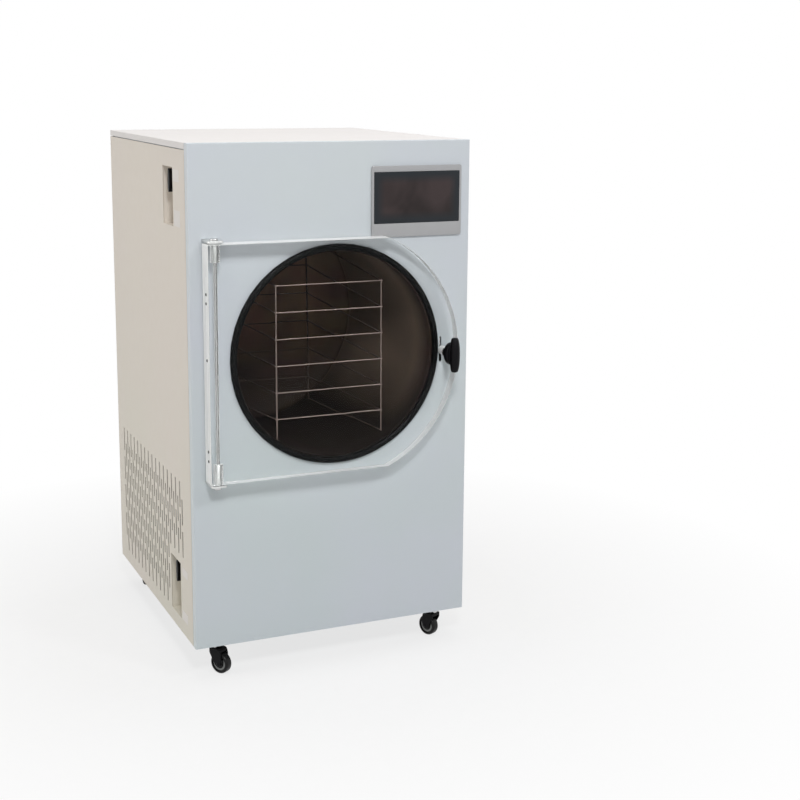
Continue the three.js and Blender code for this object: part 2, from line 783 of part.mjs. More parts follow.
function addJacket() {
  const portHole = vacuumPortOuter + fitGap;
  const profile = [
    [jacketInner, jacketFront],
    [jacketInner, drumBack + fitGap],
    [portHole, drumBack + fitGap],
    [portHole, jacketBack - fitGap],
    [jacketOuter, jacketBack - fitGap],
    [jacketOuter, jacketFront],
    [jacketInner, jacketFront],
  ];
  const jacket = turned('y', [0, 0, chamberZ], profile, ringSides);
  const hole = pipeRadius + 2;
  const [below, above] = [chamberZ - jacketOuter - 5, chamberZ + jacketOuter + 5];
  const drain = rod('z', [...deckPassages.drain, 0], hole, below, chamberZ - chamberRadius, 12);
  const vent = rod('z', [ventPortX, valveFromFront, 0], hole, chamberZ, above, 12);
  addPiece('insulation_jacket', cut(jacket, drain, vent), 'blackFoam');
}

// The seal stands proud of the panel and has a rounded lip for the door to close on.
function addGasket() {
  const lip = -doorStandoff + fitGap;
  const seat = flangeFace - fitGap;
  const profile = [
    [gasketInner, seat],
    [gasketInner, lip + gasketBevel],
    [gasketInner + gasketBevelWidth, lip],
    [gasketOuter - gasketBevelWidth, lip],
    [gasketOuter, lip + gasketBevel],
    [gasketOuter, seat],
    [gasketInner, seat],
  ];
  addPiece('door_gasket', turned('y', [0, 0, chamberZ], profile, ringSides), 'blackRubber');
}

// Wire shelves on four posts. The posts stand on two rails that rest on the drum's wall, and their tops
// keep clear of it.
function addRack() {
  const cornerRadius = chamberRadius - rackClearance;
  const cornerAngle = THREE.MathUtils.degToRad(rackCornerAngle);
  const reach = cornerRadius * Math.cos(cornerAngle) - rackPost;
  const postTop = chamberZ + cornerRadius * Math.sin(cornerAngle);
  const topZ = postTop - rackOverhang;
  const flatsRadius = chamberRadius * Math.cos(Math.PI / ringSides);
  const footZ = chamberZ - Math.sqrt((flatsRadius - rackWire - fitGap) ** 2 - reach ** 2);
  const pitch = (topZ - footZ - rackFootRise) / (rackLevels - 1);
  const wires = [];
  for (const x of [-reach, reach]) {
    for (const y of [rackFront, rackBack]) {
      wires.push(rod('z', [x, y, 0], rackPost, footZ, postTop, 6));
    }
    wires.push(rod('y', [x, 0, footZ], rackWire, rackFront - rackOverhang, rackBack + rackOverhang, 6));
  }
  for (let level = 0; level < rackLevels; level += 1) {
    const z = topZ - level * pitch;
    for (const x of [-reach, reach]) {
      wires.push(rod('y', [x, 0, z], rackWire, rackFront, rackBack, 4));
    }
    for (const y of [rackFront, rackBack]) {
      wires.push(rod('x', [0, y, z], rackWire, -reach, reach, 4));
    }
  }
  addPiece('tray_rack', joined(...wires), 'brightSteel');
}

function addCradles() {
  const reach = jacketOuter * cradleReachShare;
  const bottom = deckTop + fitGap;
  const top = chamberZ - Math.sqrt(jacketOuter ** 2 - reach ** 2) * 0.92;
  const seat = circle(0, chamberZ, jacketOuter + fitGap);
  for (const [name, y] of [
    ['front_cradle', jacketFront + cradleFront],
    ['rear_cradle', jacketBack - cradleRear],
  ]) {
    const plate = block(-reach, reach, y, y + cradleSheet, bottom, top);
    const foot = block(-reach, reach, y, y + cradleFoot, bottom, bottom + cradleFootSheet);
    const arc = prism('xzy', seat, y - 1, y + cradleFoot + 1, ringSides / 2);
    addPiece(name, cut(joined(plate, foot), arc), 'galvanised');
  }
}

// Door

// A thick clear slab, straight at the hinge and rounded at the latch, bored from end to end for the rod.
function addDoor() {
  const flatEnd = Math.sqrt(doorArcRadius ** 2 - doorHalfHeight ** 2);
  const swing = Math.atan2(doorHalfHeight, flatEnd);
  const outline = new THREE.Shape()
    .moveTo(doorLeft, doorBottom)
    .lineTo(flatEnd, doorBottom)
    .absarc(0, chamberZ, doorArcRadius, -swing, swing, false)
    .lineTo(doorLeft, doorTop);
  const hinge = [hingeX, hingeY, 0];
  const latch = [latchX, 0, latchZ];
  const upperSeat = doorTop - upperBushLength - fitGap;
  const lowerSeat = doorBottom + lowerBushLength + fitGap;
  const stripY = doorFront + stripSetback;
  const [stripBottom, stripTop] = [doorBottom + stripMargin, doorTop - stripMargin];
  const groove = block(
    doorLeft - 1, doorLeft + stripThickness + fitGap,
    stripY - fitGap, stripY + stripWidth + fitGap,
    stripBottom - fitGap, stripTop + fitGap,
  );
  addPiece('door_panel', cut(
    prism('xzy', outline, doorFront, -doorStandoff, 16),
    rod('z', hinge, rodRadius + 2 * fitGap, doorBottom - 1, doorTop + 1, 12),
    rod('z', hinge, bushRadius + fitGap, upperSeat, doorTop + 1, boreSides),
    rod('z', hinge, bushRadius + fitGap, doorBottom - 1, lowerSeat, boreSides),
    rod('y', latch, latchBushRadius + fitGap, doorFront - 1, -doorStandoff + 1, boreSides),
    groove,
  ), 'clearAcrylic');
  addPiece('door_edge_strip', block(
    doorLeft, doorLeft + stripThickness, stripY, stripY + stripWidth, stripBottom, stripTop,
  ), 'brightSteel');
}

function addHingeBushes() {
  for (const [name, end, inwards, length] of [
    ['upper_hinge_bush', doorTop, -1, upperBushLength],
    ['lower_hinge_bush', doorBottom, 1, lowerBushLength],
  ]) {
    const profile = [
      [bushBore, end + inwards * length],
      [bushRadius, end + inwards * length],
      [bushRadius, end - inwards * fitGap],
      [bushRadius + 2, end - inwards * fitGap],
      [bushRadius + 2, end - inwards * bushCollar],
      [bushBore, end - inwards * bushCollar],
      [bushBore, end + inwards * length],
    ];
    addPiece(name, turned('z', [hingeX, hingeY, 0], profile, boreSides), 'brightSteel');
  }
}

// Each ear passes through the front panel, and its tab stands behind the front post of the frame.
function addHingeEars() {
  const tabFront = frameFront + angleThickness + fitGap;
  const tabBack = tabFront + earThickness;
  const tabLeft = -frameX + angleThickness + fitGap;
  const [earLeft, earRight] = [hingeX - earHalfWidth, hingeX + earHalfWidth];
  const outline = roundedRectangle(earLeft, -earReach, earRight, tabBack + 2 * earCorner, earCorner);
  for (const [name, [low, high], tabLow] of [
    ['upper_hinge_ear', upperEar, upperEar[1] - earTab],
    ['lower_hinge_ear', lowerEar, lowerEar[0]],
  ]) {
    const plate = prism('xyz', outline, low, high, 4);
    const trim = block(earLeft - 1, earRight + 1, tabBack, tabBack + 3 * earCorner, low - 1, high + 1);
    const notch = block(
      -frameX - angleLeg, -frameX + angleLeg + fitGap, frameFront - fitGap, tabFront, low - 1, high + 1,
    );
    const tab = block(tabLeft, earRight, tabFront, tabBack, tabLow, tabLow + earTab);
    const bore = rod('z', [hingeX, hingeY, 0], bushBore, low - 1, high + 1, 12);
    addPiece(name, cut(joined(cut(plate, notch), tab), trim, bore), 'brightSteel');
  }
}

function addHingeRod() {
  const headSeat = upperEar[1] + fitGap;
  const headTop = headSeat + rodHeadHeight;
  const nutSeat = lowerEar[0] - fitGap;
  const nutEnd = nutSeat - rodNutHeight;
  const profile = [
    [0, nutEnd - rodTail],
    [rodRadius, nutEnd - rodTail],
    [rodRadius, nutEnd],
    [rodNutRadius, nutEnd],
    [rodNutRadius, nutSeat],
    [rodRadius, nutSeat],
    [rodRadius, headSeat],
    [rodHeadRadius, headSeat],
    [rodHeadRadius, headTop - 1.5],
    [rodHeadRadius - 1.5, headTop],
    [0, headTop],
  ];
  addPiece('hinge_rod', turned('z', [hingeX, hingeY, 0], profile, 12), 'brightSteel');
}

// Latch

function addLatchSeats() {
  const axis = [latchX, 0, latchZ];
  const bore = latchShaftRadius + fitGap;
  const flangeBack = doorFront - fitGap;
  addPiece('latch_bush', turned('y', axis, [
    [bore, -doorStandoff - fitGap],
    [latchBushRadius, -doorStandoff - fitGap],
    [latchBushRadius, flangeBack],
    [latchFlangeRadius, flangeBack],
    [latchFlangeRadius, flangeBack - latchFlange],
    [bore, flangeBack - latchFlange],
    [bore, -doorStandoff - fitGap],
  ], boreSides), 'brightSteel');

  const plate = roundedRectangle(
    latchX - latchSlotWidth / 2 - keeperMargin, latchZ - latchSlotHeight / 2 - keeperMargin,
    latchX + latchSlotWidth / 2 + keeperMargin, latchZ + latchSlotHeight / 2 + keeperMargin, 4,
  );
  addPiece('latch_keeper', cut(
    prism('xzy', plate, keeperFront, keeperBack, 3),
    prism('xzy', slot(latchX, latchZ, latchSlotWidth, latchSlotHeight), 0, keeperBack + 1, 3),
    prism('xzy', circle(0, chamberZ, flangeRadius + holeClearance), 0, keeperBack + 1, ringSides / 2),
  ), 'galvanised');
}

// The shaft ends in a hook that turns behind the keeper plate.
function addLatchShaft() {
  const hook = block(
    latchX - latchHookWidth / 2, latchX + latchHookWidth / 2, hookFront, hookBack,
    latchZ - latchHookHeel, latchZ + latchHookLength,
  );
  const shaft = turned('y', [latchX, 0, latchZ], [
    [0, knobShaftEnd],
    [latchShaftRadius, knobShaftEnd],
    [latchShaftRadius, -doorStandoff],
    [latchNeckRadius, -doorStandoff + 3],
    [latchNeckRadius, hookFront + latchHookDepth / 2],
    [0, hookFront + latchHookDepth / 2],
  ], 12);
  addPiece('latch_shaft', joined(shaft, hook), 'brightSteel');
}

// A round hub with a tall wing in front of it. The wing is waisted seen from the front and bowed seen
// from the side, and all its ends are rounded.
function addKnob() {
  const axis = [latchX, 0, latchZ];
  const hub = turned('y', axis, [
    [0, knobBack],
    [knobHubRadius - 3, knobBack],
    [knobHubRadius, knobBack - 3],
    [knobHubRadius, knobBack - 8],
    [knobHubRadius - 5, hubFront + 4],
    [knobHubRadius - 9, hubFront - 2],
    [0, hubFront - 2],
  ], 18);

  const half = knobWingHeight / 2;
  const side = knobWingWidth / 2;
  const [tip, waist] = [side - 2.5, side + 1.5];
  const shoulder = half - 8;
  const face = new THREE.Shape()
    .moveTo(latchX - tip, latchZ - half)
    .quadraticCurveTo(latchX - side, latchZ - half, latchX - side, latchZ - shoulder)
    .quadraticCurveTo(latchX - waist, latchZ, latchX - side, latchZ + shoulder)
    .quadraticCurveTo(latchX - side, latchZ + half, latchX - tip, latchZ + half)
    .lineTo(latchX + tip, latchZ + half)
    .quadraticCurveTo(latchX + side, latchZ + half, latchX + side, latchZ + shoulder)
    .quadraticCurveTo(latchX + waist, latchZ, latchX + side, latchZ - shoulder)
    .quadraticCurveTo(latchX + side, latchZ - half, latchX + tip, latchZ - half);

  const wingBack = hubFront + 8;
  const [root, neck] = [14, 22];
  const [edgeBack, edgeFront] = [hubFront - 14, knobFront + 3];
  const profile = new THREE.Shape()
    .moveTo(wingBack, latchZ - root)
    .lineTo(hubFront - 2, latchZ - neck)
    .quadraticCurveTo(hubFront - 6, latchZ - half, edgeBack, latchZ - half)
    .quadraticCurveTo(edgeFront + 1, latchZ - half, edgeFront, latchZ - shoulder)
    .quadraticCurveTo(edgeFront - 6, latchZ, edgeFront, latchZ + shoulder)
    .quadraticCurveTo(edgeFront + 1, latchZ + half, edgeBack, latchZ + half)
    .quadraticCurveTo(hubFront - 6, latchZ + half, hubFront - 2, latchZ + neck)
    .lineTo(wingBack, latchZ + root);
  const wing = shared(
    prism('xzy', face, knobFront - 5, wingBack, 3),
    prism('yzx', profile, latchX - knobWingWidth, latchX + knobWingWidth, 4),
  );
  const socket = rod('y', axis, latchShaftRadius + fitGap, knobShaftEnd - fitGap, knobBack + 1, 12);
  addPiece('latch_knob', cut(joined(hub, wing), socket), 'blackPlastic');
}

// Touch screen

function screenBoxOutline() {
  const margin = screenBoxMargin;
  return [screenLeft + margin, screenBottom + margin, screenRight - margin, screenTop - margin];
}

// The bezel lies on the panel, and its box reaches in through the panel's opening.
function addScreen() {
  const outline = roundedRectangle(screenLeft, screenBottom, screenRight, screenTop, screenCorner);
  const bezel = prism('xzy', outline, -bezelDepth - fitGap, -fitGap, 3);
  const [x0, z0, x1, z1] = screenBoxOutline();
  const box = block(x0, x1, -fitGap - 1, screenBoxDepth, z0, z1);
  const recessFloor = -bezelDepth - fitGap + glassThickness + glassBed;
  const [u0, u1] = [screenLeft + bezelSide, screenRight - bezelSide];
  const [v0, v1] = [screenBottom + bezelBottom, screenTop - bezelTop];
  const sink = prism('xzy', roundedRectangle(u0, v0, u1, v1, 2), -bezelDepth - 2, recessFloor, 2);
  addPiece('screen_housing', cut(joined(bezel, box), sink), 'greyBezel');

  const pane = roundedRectangle(u0 + fitGap, v0 + fitGap, u1 - fitGap, v1 - fitGap, 2 - fitGap);
  const paneBack = recessFloor - fitGap;
  addPiece('screen_glass', prism('xzy', pane, paneBack - glassThickness, paneBack, 2), 'darkGlass');
}

// Valves

// A folded tray behind an opening of the left side, with a lip that lies against the panel's inside.
function valvePocket(low, high, holes) {
  const [front, back] = [pocketFront, pocketFront + pocketWidth];
  const t = pocketSheet;
  const tray = block(pocketFace, pocketInner + t, front - t, back + t, low - t, high + t);
  const lip = block(
    pocketFace, pocketFace + t, front - pocketLip, back + pocketLip,
    low - Math.min(pocketLip, drainPocketRise - 1), high + pocketLip,
  );
  const hollow = block(pocketFace - 1, pocketInner, front, back, low, high);
  const bores = holes.map(
    ([z, radius]) => rod('x', [0, valveFromFront, z], radius, pocketInner - 1, pocketInner + t + 1, 8),
  );
  return cut(joined(tray, lip), hollow, ...bores);
}

// A ball valve on an upright line, with its stem boss through the pocket's back wall.
function valveBody(z, extras) {
  const half = valveLength / 2;
  const shoulder = half - valveEndLength;
  const body = turned('z', [valveX, valveFromFront, z], [
    [0, -half],
    [valveEndRadius, -half],
    [valveEndRadius, -shoulder],
    [valveRadius, -shoulder + 2],
    [valveRadius, shoulder - 2],
    [valveEndRadius, shoulder],
    [valveEndRadius, half],
    [0, half],
  ], 8);
  const axis = [0, valveFromFront, z];
  const boss = rod('x', axis, stemRadius + bossWall, pocketInner - bossReach, valveX, 8);
  const bore = rod('x', axis, stemRadius + fitGap, pocketInner - bossReach - 1, pocketInner + 8, 12);
  return cut(joined(body, boss, ...extras), bore);
}

// A lever that bulges at its stem and is rounded at both ends.
function valveHandle(z) {
  const face = -halfWidth + leverInset;
  const inner = face + leverDepth;
  const y = valveFromFront;
  const shoulder = leverLength / 2 - 5;
  const tip = leverLength / 2 + 5;
  const [side, bulge] = [leverWidth / 2 - 1.5, leverWidth / 2 + 3];
  const outline = new THREE.Shape()
    .moveTo(y - side, z - shoulder)
    .quadraticCurveTo(y, z - tip, y + side, z - shoulder)
    .quadraticCurveTo(y + bulge, z, y + side, z + shoulder)
    .quadraticCurveTo(y, z + tip, y - side, z + shoulder)
    .quadraticCurveTo(y - bulge, z, y - side, z - shoulder);
  const lever = prism('yzx', outline, face, inner, 4);
  const hub = rod('x', [0, y, z], leverHubRadius, inner - 1, pocketInner - bossReach - fitGap, 12);
  const stem = rod('x', [0, y, z], stemRadius, inner, pocketInner + 7, 8);
  return joined(lever, hub, stem);
}

function addVent() {
  const bossHole = stemRadius + bossWall + fitGap;
  const pocket = valvePocket(ventPocketBottom, ventPocketTop, [[ventValveZ, bossHole]]);
  addPiece('vent_valve_pocket', pocket, 'sidePaint');
  addPiece('vent_valve_body', valveBody(ventValveZ, []), 'brass');
  addPiece('vent_valve_handle', valveHandle(ventValveZ), 'blackPlastic');

  const foot = chamberZ + Math.sqrt(drumOuter ** 2 - (ventPortX + pipeRadius) ** 2) + fitGap;
  const end = ventValveZ - valveLength / 2 - fitGap;
  addPiece('vent_pipe', pipe([
    [ventPortX, valveFromFront, foot],
    [ventPortX, valveFromFront, foot + 30],
    [ventPortX, valveFromFront, chamberZ + jacketOuter - 10],
    [ventPortX - 12, valveFromFront, end - 50],
    [(ventPortX + valveX) / 2, valveFromFront, end - 32],
    [valveX + 14, valveFromFront, end - 26],
    [valveX, valveFromFront, end - 8],
    [valveX, valveFromFront, end],
  ], pipeRadius, 6, 16), 'stainless');
}

// The drain valve has a spout with a hose barb below it, in the same pocket.
function addDrain() {
  const bossHole = stemRadius + bossWall + fitGap;
  const spoutRadius = pipeRadius + 1;
  const holes = [[drainValveZ, bossHole], [drainSpoutZ, spoutRadius + fitGap]];
  const pocket = valvePocket(drainPocketBottom, drainPocketTop, holes);
  addPiece('drain_valve_pocket', pocket, 'sidePaint');

  const spoutEnd = pocketInner - spoutReach;
  const foot = drainSpoutZ - spoutRadius;
  const drop = rod('z', [valveX, valveFromFront, 0], spoutRadius, foot, drainValveZ, 8);
  const barb = turned('x', [0, valveFromFront, drainSpoutZ], [
    [0, valveX],
    [spoutRadius, valveX],
    [spoutRadius, spoutEnd + 10],
    [spoutRadius - 2, spoutEnd + 10],
    [spoutRadius - 1, spoutEnd + 5],
    [spoutRadius - 2.2, spoutEnd],
    [0, spoutEnd],
  ], 8);
  addPiece('drain_valve_body', valveBody(drainValveZ, [drop, barb]), 'brass');
  addPiece('drain_valve_handle', valveHandle(drainValveZ), 'blackPlastic');

  const [x, y] = deckPassages.drain;
  const end = drainValveZ + valveLength / 2 + fitGap;
  addPiece('drain_pipe', pipe([
    [x, y, chamberZ - drumOuter - fitGap],
    [x, y, deckZ + 20],
    [x, y, deckZ - 20],
    [x - 20, y + 2, deckZ - 55],
    [(x + valveX) / 2, y + 5, deckZ - 80],
    [valveX + 24, valveFromFront, end + 60],
    [valveX, valveFromFront, end + 22],
    [valveX, valveFromFront, end],
  ], pipeRadius, 6, 18), 'stainless');
}

// Refrigeration

// Upright fins on a spine, between two end plates that stand on the pan. The tubes' ends come out of
// the rear plate.
function addCoil() {
  const spine = coilInner - coilPlate;
  const outline = new THREE.Shape().moveTo(coilInner, coilFront).lineTo(coilInner, coilBack);
  outline.lineTo(spine, coilBack);
  const fins = Math.floor((coilLength - 2 * coilPlate) / finPitch) - 1;
  const first = coilFront + (coilLength - (fins - 1) * finPitch - finThickness) / 2;
  for (let fin = fins - 1; fin >= 0; fin -= 1) {
    const y = first + fin * finPitch;
    outline.lineTo(spine, y + finThickness).lineTo(coilX, y + finThickness);
    outline.lineTo(coilX, y).lineTo(spine, y);
  }
  outline.lineTo(spine, coilFront);
  const parts = [prism('xyz', outline, coilBottom, coilBottom + coilHeight)];
  const plateTop = coilBottom + coilHeight + 4;
  for (const y of [coilFront, coilBack - coilPlate]) {
    parts.push(block(coilX - 2, coilInner, y, y + coilPlate, panFloor + fitGap, plateTop));
  }
  for (const share of [0.25, 0.75]) {
    const centre = [coilX + coilThickness / 2, 0, coilBottom + coilHeight * share];
    parts.push(rod('y', centre, pipeRadius, coilBack - 1, coilBack + coilStub, 8));
  }
  addPiece('condenser_coil', joined(...parts), 'galvanised');
}

// A plate with a round throat, and a spider that carries the motor behind the rotor.
function addFanShroud() {
  const throatRadius = fanRadius + fanClearance;
  const hubRadius = motorRadius * 0.7;
  const [front, back] = [fanY - coilLength / 2, fanY + coilLength / 2];
  const plate = rectangle(front, coilBottom, back, coilBottom + coilHeight);
  const ring = circle(fanY, fanZ, throatRadius + shroudRim);
  const throat = prism('yzx', circle(fanY, fanZ, throatRadius), shroudX - 1, spiderEnd + 1, 9);
  const parts = [
    cut(joined(
      prism('yzx', plate, shroudX, shroudX + shroudSheet),
      prism('yzx', ring, shroudX, spiderEnd, 9),
    ), throat),
    rod('x', [0, fanY, fanZ], hubRadius, spiderX, spiderEnd, 12),
    block(shroudX, shroudX + shroudSheet, front, back, panFloor + fitGap, coilBottom + 1),
  ];
  const armLength = throatRadius + shroudRim / 2;
  for (let arm = 0; arm < spiderArms; arm += 1) {
    const bar = new THREE.BoxGeometry(spiderDepth, spiderArmWidth, armLength);
    bar.translate(spiderX + spiderDepth / 2, 0, armLength / 2);
    bar.rotateX((2 * Math.PI * arm) / spiderArms);
    parts.push(bar.translate(0, fanY, fanZ));
  }
  const shaftHole = rod('x', [0, fanY, fanZ], fanShaftRadius + 2, spiderX - 1, spiderEnd + 1, 8);
  addPiece('fan_shroud', cut(joined(...parts), shaftHole), 'blackPlastic');
}

function addFanMotor() {
  const start = spiderEnd + fitGap;
  addPiece('fan_motor', turned('x', [0, fanY, fanZ], [
    [0, rotorStart],
    [fanShaftRadius, rotorStart],
    [fanShaftRadius, start],
    [motorRadius, start],
    [motorRadius, start + motorLength * 0.75],
    [motorRadius * 0.8, start + motorLength],
    [0, start + motorLength],
  ], 14), 'blackEnamel');
}

// A blade is a thin sheet, widest in its middle and less twisted towards its tip.
function fanBlade() {
  const length = fanRadius - bladeRoot;
  const blade = new THREE.BoxGeometry(bladeSheet, bladeChord, length, 1, 1, 2);
  blade.translate(0, 0, bladeRoot + length / 2);
  const points = blade.getAttribute('position');
  for (let i = 0; i < points.count; i += 1) {
    const [x, y, z] = [points.getX(i), points.getY(i), points.getZ(i)];
    const twist = THREE.MathUtils.degToRad(20 - 10 * ((z - bladeRoot) / length));
    const chord = y * (0.7 + 0.3 * Math.sin((Math.PI * z) / fanRadius));
    const [cosine, sine] = [Math.cos(twist), Math.sin(twist)];
    points.setXYZ(i, x * cosine - chord * sine, x * sine + chord * cosine, z);
  }
  return blade;
}

function addFanRotor() {
  const axis = [0, fanY, fanZ];
  const blades = [];
  for (let blade = 0; blade < fanBlades; blade += 1) {
    const turn = (2 * Math.PI * blade) / fanBlades;
    blades.push(fanBlade().rotateX(turn).translate((rotorStart + rotorEnd) / 2, fanY, fanZ));
  }
  const hub = rod('x', axis, fanHubRadius, rotorStart, rotorEnd, 14);
  const sweep = rod('x', axis, fanRadius, rotorStart, rotorEnd, 16);
  const bore = rod('x', axis, fanShaftRadius + fitGap, rotorStart - 1, rotorEnd + 1, 12);
  addPiece('fan_rotor', cut(shared(joined(hub, ...blades), sweep), bore), 'whiteEnamel');
}

const suctionX = compressorX - 30;
const dischargeX = compressorX - compressorRadius - stubLength;
const dischargeZ = machineBase + compressorHeight * 0.4;
const coilPipeEnd = coilBack + coilStub + fitGap;

// A welded shell of two deep drawn halves, on a plate with four rubber feet.
function addCompressor() {
  const r = compressorRadius;
  const h = compressorHeight;
  const shell = turned('z', [compressorX, compressorY, machineBase], [
    [0, compressorLift],
    [r * 0.7, compressorLift + 2],
    [r * 0.94, compressorLift + 16],
    [r, compressorLift + 38],
    [r, h * 0.5],
    [r + 4, h * 0.5 + 2],
    [r + 4, h * 0.5 + 10],
    [r, h * 0.5 + 12],
    [r, h * 0.78],
    [r * 0.88, h * 0.91],
    [r * 0.5, h * 0.99],
    [0, h],
  ], 12);
  const [footX, footY] = [r * 0.86, r * 0.53];
  const plateReach = [footX + 8, footY + 12];
  const plateLow = machineBase + compressorLift;
  const parts = [shell, block(
    compressorX - plateReach[0], compressorX + plateReach[0],
    compressorY - plateReach[1], compressorY + plateReach[1], plateLow, plateLow + 6,
  )];
  for (const x of [compressorX - footX, compressorX + footX]) {
    for (const y of [compressorY - footY, compressorY + footY]) {
      parts.push(rod('z', [x, y, machineBase], 11, 0, compressorLift + 1, 8));
    }
  }
  const terminalBox = [compressorY - r - terminalBoxDepth, compressorY - r + 10];
  parts.push(block(
    compressorX - 26, compressorX + 26, ...terminalBox, machineBase + h * 0.3, machineBase + h * 0.58,
  ));
  parts.push(rod('z', [suctionX, compressorY, machineBase], pipeRadius + 1, h * 0.9, h + 6, 8));
  parts.push(rod(
    'x', [0, compressorY, dischargeZ], pipeRadius + 1, dischargeX, dischargeX + stubLength + 10, 8,
  ));
  addPiece('compressor', joined(...parts), 'blackEnamel');
}

function addRefrigerantLines() {
  const [passX, passY] = deckPassages.hose;
  const suctionEnd = compressorTop + 6 + fitGap;
  const runZ = (compressorTop + deckZ - angleLeg) / 2;
  const suctionStart = [60, jacketBack, chamberZ - 150];
  addPiece('suction_line', pipe([
    suctionStart,
    [60, jacketBack + 10, chamberZ - 150],
    [60, jacketBack + 22, chamberZ - 154],
    [passX - 45, passY, chamberZ - 190],
    [passX - 45, passY, deckZ - 10],
    [suctionX - 14, compressorY + 100, runZ - 2],
    [suctionX - 2, compressorY + 30, runZ + 2],
    [suctionX, compressorY, (runZ + suctionEnd) / 2],
    [suctionX, compressorY, suctionEnd],
  ], pipeRadius, 6, 18), 'copper');

  const inletZ = coilBottom + coilHeight * 0.75;
  addPiece('discharge_line', pipe([
    [dischargeX - fitGap, compressorY, dischargeZ],
    [dischargeX - 12, compressorY, dischargeZ],
    [dischargeX - 30, compressorY + 8, dischargeZ],
    [dischargeX - 56, compressorY + 80, coilBottom + coilHeight * 0.6],
    [coilInner + 60, coilPipeEnd + 52, inletZ - 9],
    [coilMiddle + 8, coilPipeEnd + 34, inletZ],
    [coilMiddle, coilPipeEnd + 12, inletZ],
    [coilMiddle, coilPipeEnd, inletZ],
  ], pipeRadius, 6, 16), 'copper');
}

// The drier and its two brazed tails, from the coil's outlet to the chamber's evaporator.
function addFilterDrier() {
  const [x, y] = deckPassages.liquid;
  const z = coilBottom + 60;
  const tail = pipeRadius * 0.8;
  const body = turned('z', [x, y, z], [
    [0, -6],
    [pipeRadius, -6],
    [drierRadius, 8],
    [drierRadius, drierLength - 8],
    [pipeRadius, drierLength + 6],
    [0, drierLength + 6],
  ], 12);
  const outletZ = coilBottom + coilHeight * 0.25;
  const lower = pipe([
    [coilMiddle, coilPipeEnd, outletZ],
    [coilMiddle, coilPipeEnd + 8, outletZ],
    [coilMiddle, coilPipeEnd + 20, outletZ - 3],
    [(coilMiddle + x) / 2, y - 10, z - 34],
    [x, y, z - 26],
    [x, y, z],
  ], tail, 5, 9);
  const entry = [-170, chamberZ - 50];
  const upper = pipe([
    [x, y, z + drierLength],
    [x, y, deckTop + 40],
    [x + 10, y, chamberZ - 130],
    [entry[0] - 20, jacketBack + 28, entry[1] - 10],
    [entry[0], jacketBack + 14, entry[1]],
    [entry[0], jacketBack, entry[1]],
  ], tail, 5, 11);
  addPiece('filter_drier', joined(body, lower, upper), 'copper');
}

// Vacuum pump

const pumpCaseBottom = machineBase + pumpFootHeight + 4;
const pumpCaseTop = pumpCaseBottom + pumpBlockHeight;
const pumpPortX = pumpX + 22;
const pumpPortY = pumpFront + 40;

// Fins round the motor: each is a step of the section, as long as the gap beside it.
function finnedSection(x, z) {
  const corners = [];
  const steps = pumpFins * 4;
  for (let i = 0; i < steps; i += 1) {
    const radius = i % 4 < 2 ? pumpMotorRadius : pumpMotorRadius - pumpFinDepth;
    const angle = (2 * Math.PI * (i + 0.5)) / steps;
    corners.push(new THREE.Vector2(x + radius * Math.cos(angle), z + radius * Math.sin(angle)));
  }
  return new THREE.Shape(corners);
}

// An oil case in front, a finned motor behind it, a base plate on four feet and a carrying handle.
function addPump() {
  const half = pumpBlockWidth / 2;
  const motorZ = pumpCaseBottom + 12 + pumpMotorRadius;
  const motorEnd = pumpBack - pumpEndCover;
  const oilCase = roundedRectangle(pumpX - half, pumpCaseBottom, pumpX + half, pumpCaseTop, 14);
  const base = half + pumpBaseReach;
  const baseLow = machineBase + pumpFootHeight - 2;
  const upright = (x, y, radius, rise, sides) =>
    rod('z', [x, y, pumpCaseTop], radius, -2, rise, sides);
  const parts = [
    prism('xzy', oilCase, pumpFront, pumpBlockBack, 3),
    prism('xzy', finnedSection(pumpX, motorZ), pumpBlockBack - 1, motorEnd),
    rod('y', [pumpX, 0, motorZ], pumpMotorRadius - 3, motorEnd - 1, pumpBack, 16),
    block(
      pumpX - base, pumpX + base, pumpFront - 4, pumpBack - 10,
      baseLow, pumpCaseBottom + pumpBaseSheet - 4,
    ),
    block(pumpX - 20, pumpX + 20, pumpBlockBack, pumpBack - 30, pumpCaseBottom, pumpCaseBottom + 28),
    upright(pumpPortX, pumpPortY, hoseRadius - 2, pumpPortRise, 10),
    upright(pumpX - 28, pumpFront + 34, 12, pumpFilterRise, 8),
  ];
  for (const x of [pumpX - half + 8, pumpX + half - 8]) {
    for (const y of [pumpFront + 16, pumpBack - 26]) {
      parts.push(rod('z', [x, y, machineBase], 12, 0, pumpFootHeight, 6));
    }
  }
  const gripLow = pumpCaseTop + pumpHandleRise;
  const [frontPost, rearPost] = [pumpFront + 70, pumpBlockBack + 60];
  parts.push(block(pumpX - 5, pumpX + 5, frontPost, frontPost + 12, pumpCaseTop - 2, gripLow));
  parts.push(block(
    pumpX - 5, pumpX + 5, rearPost, rearPost + 12, motorZ + pumpMotorRadius - 10, gripLow,
  ));
  parts.push(block(pumpX - 8, pumpX + 8, frontPost - 10, rearPost + 22, gripLow - 1, gripLow + 10));
  addPiece('vacuum_pump', joined(...parts), 'blackEnamel');
}

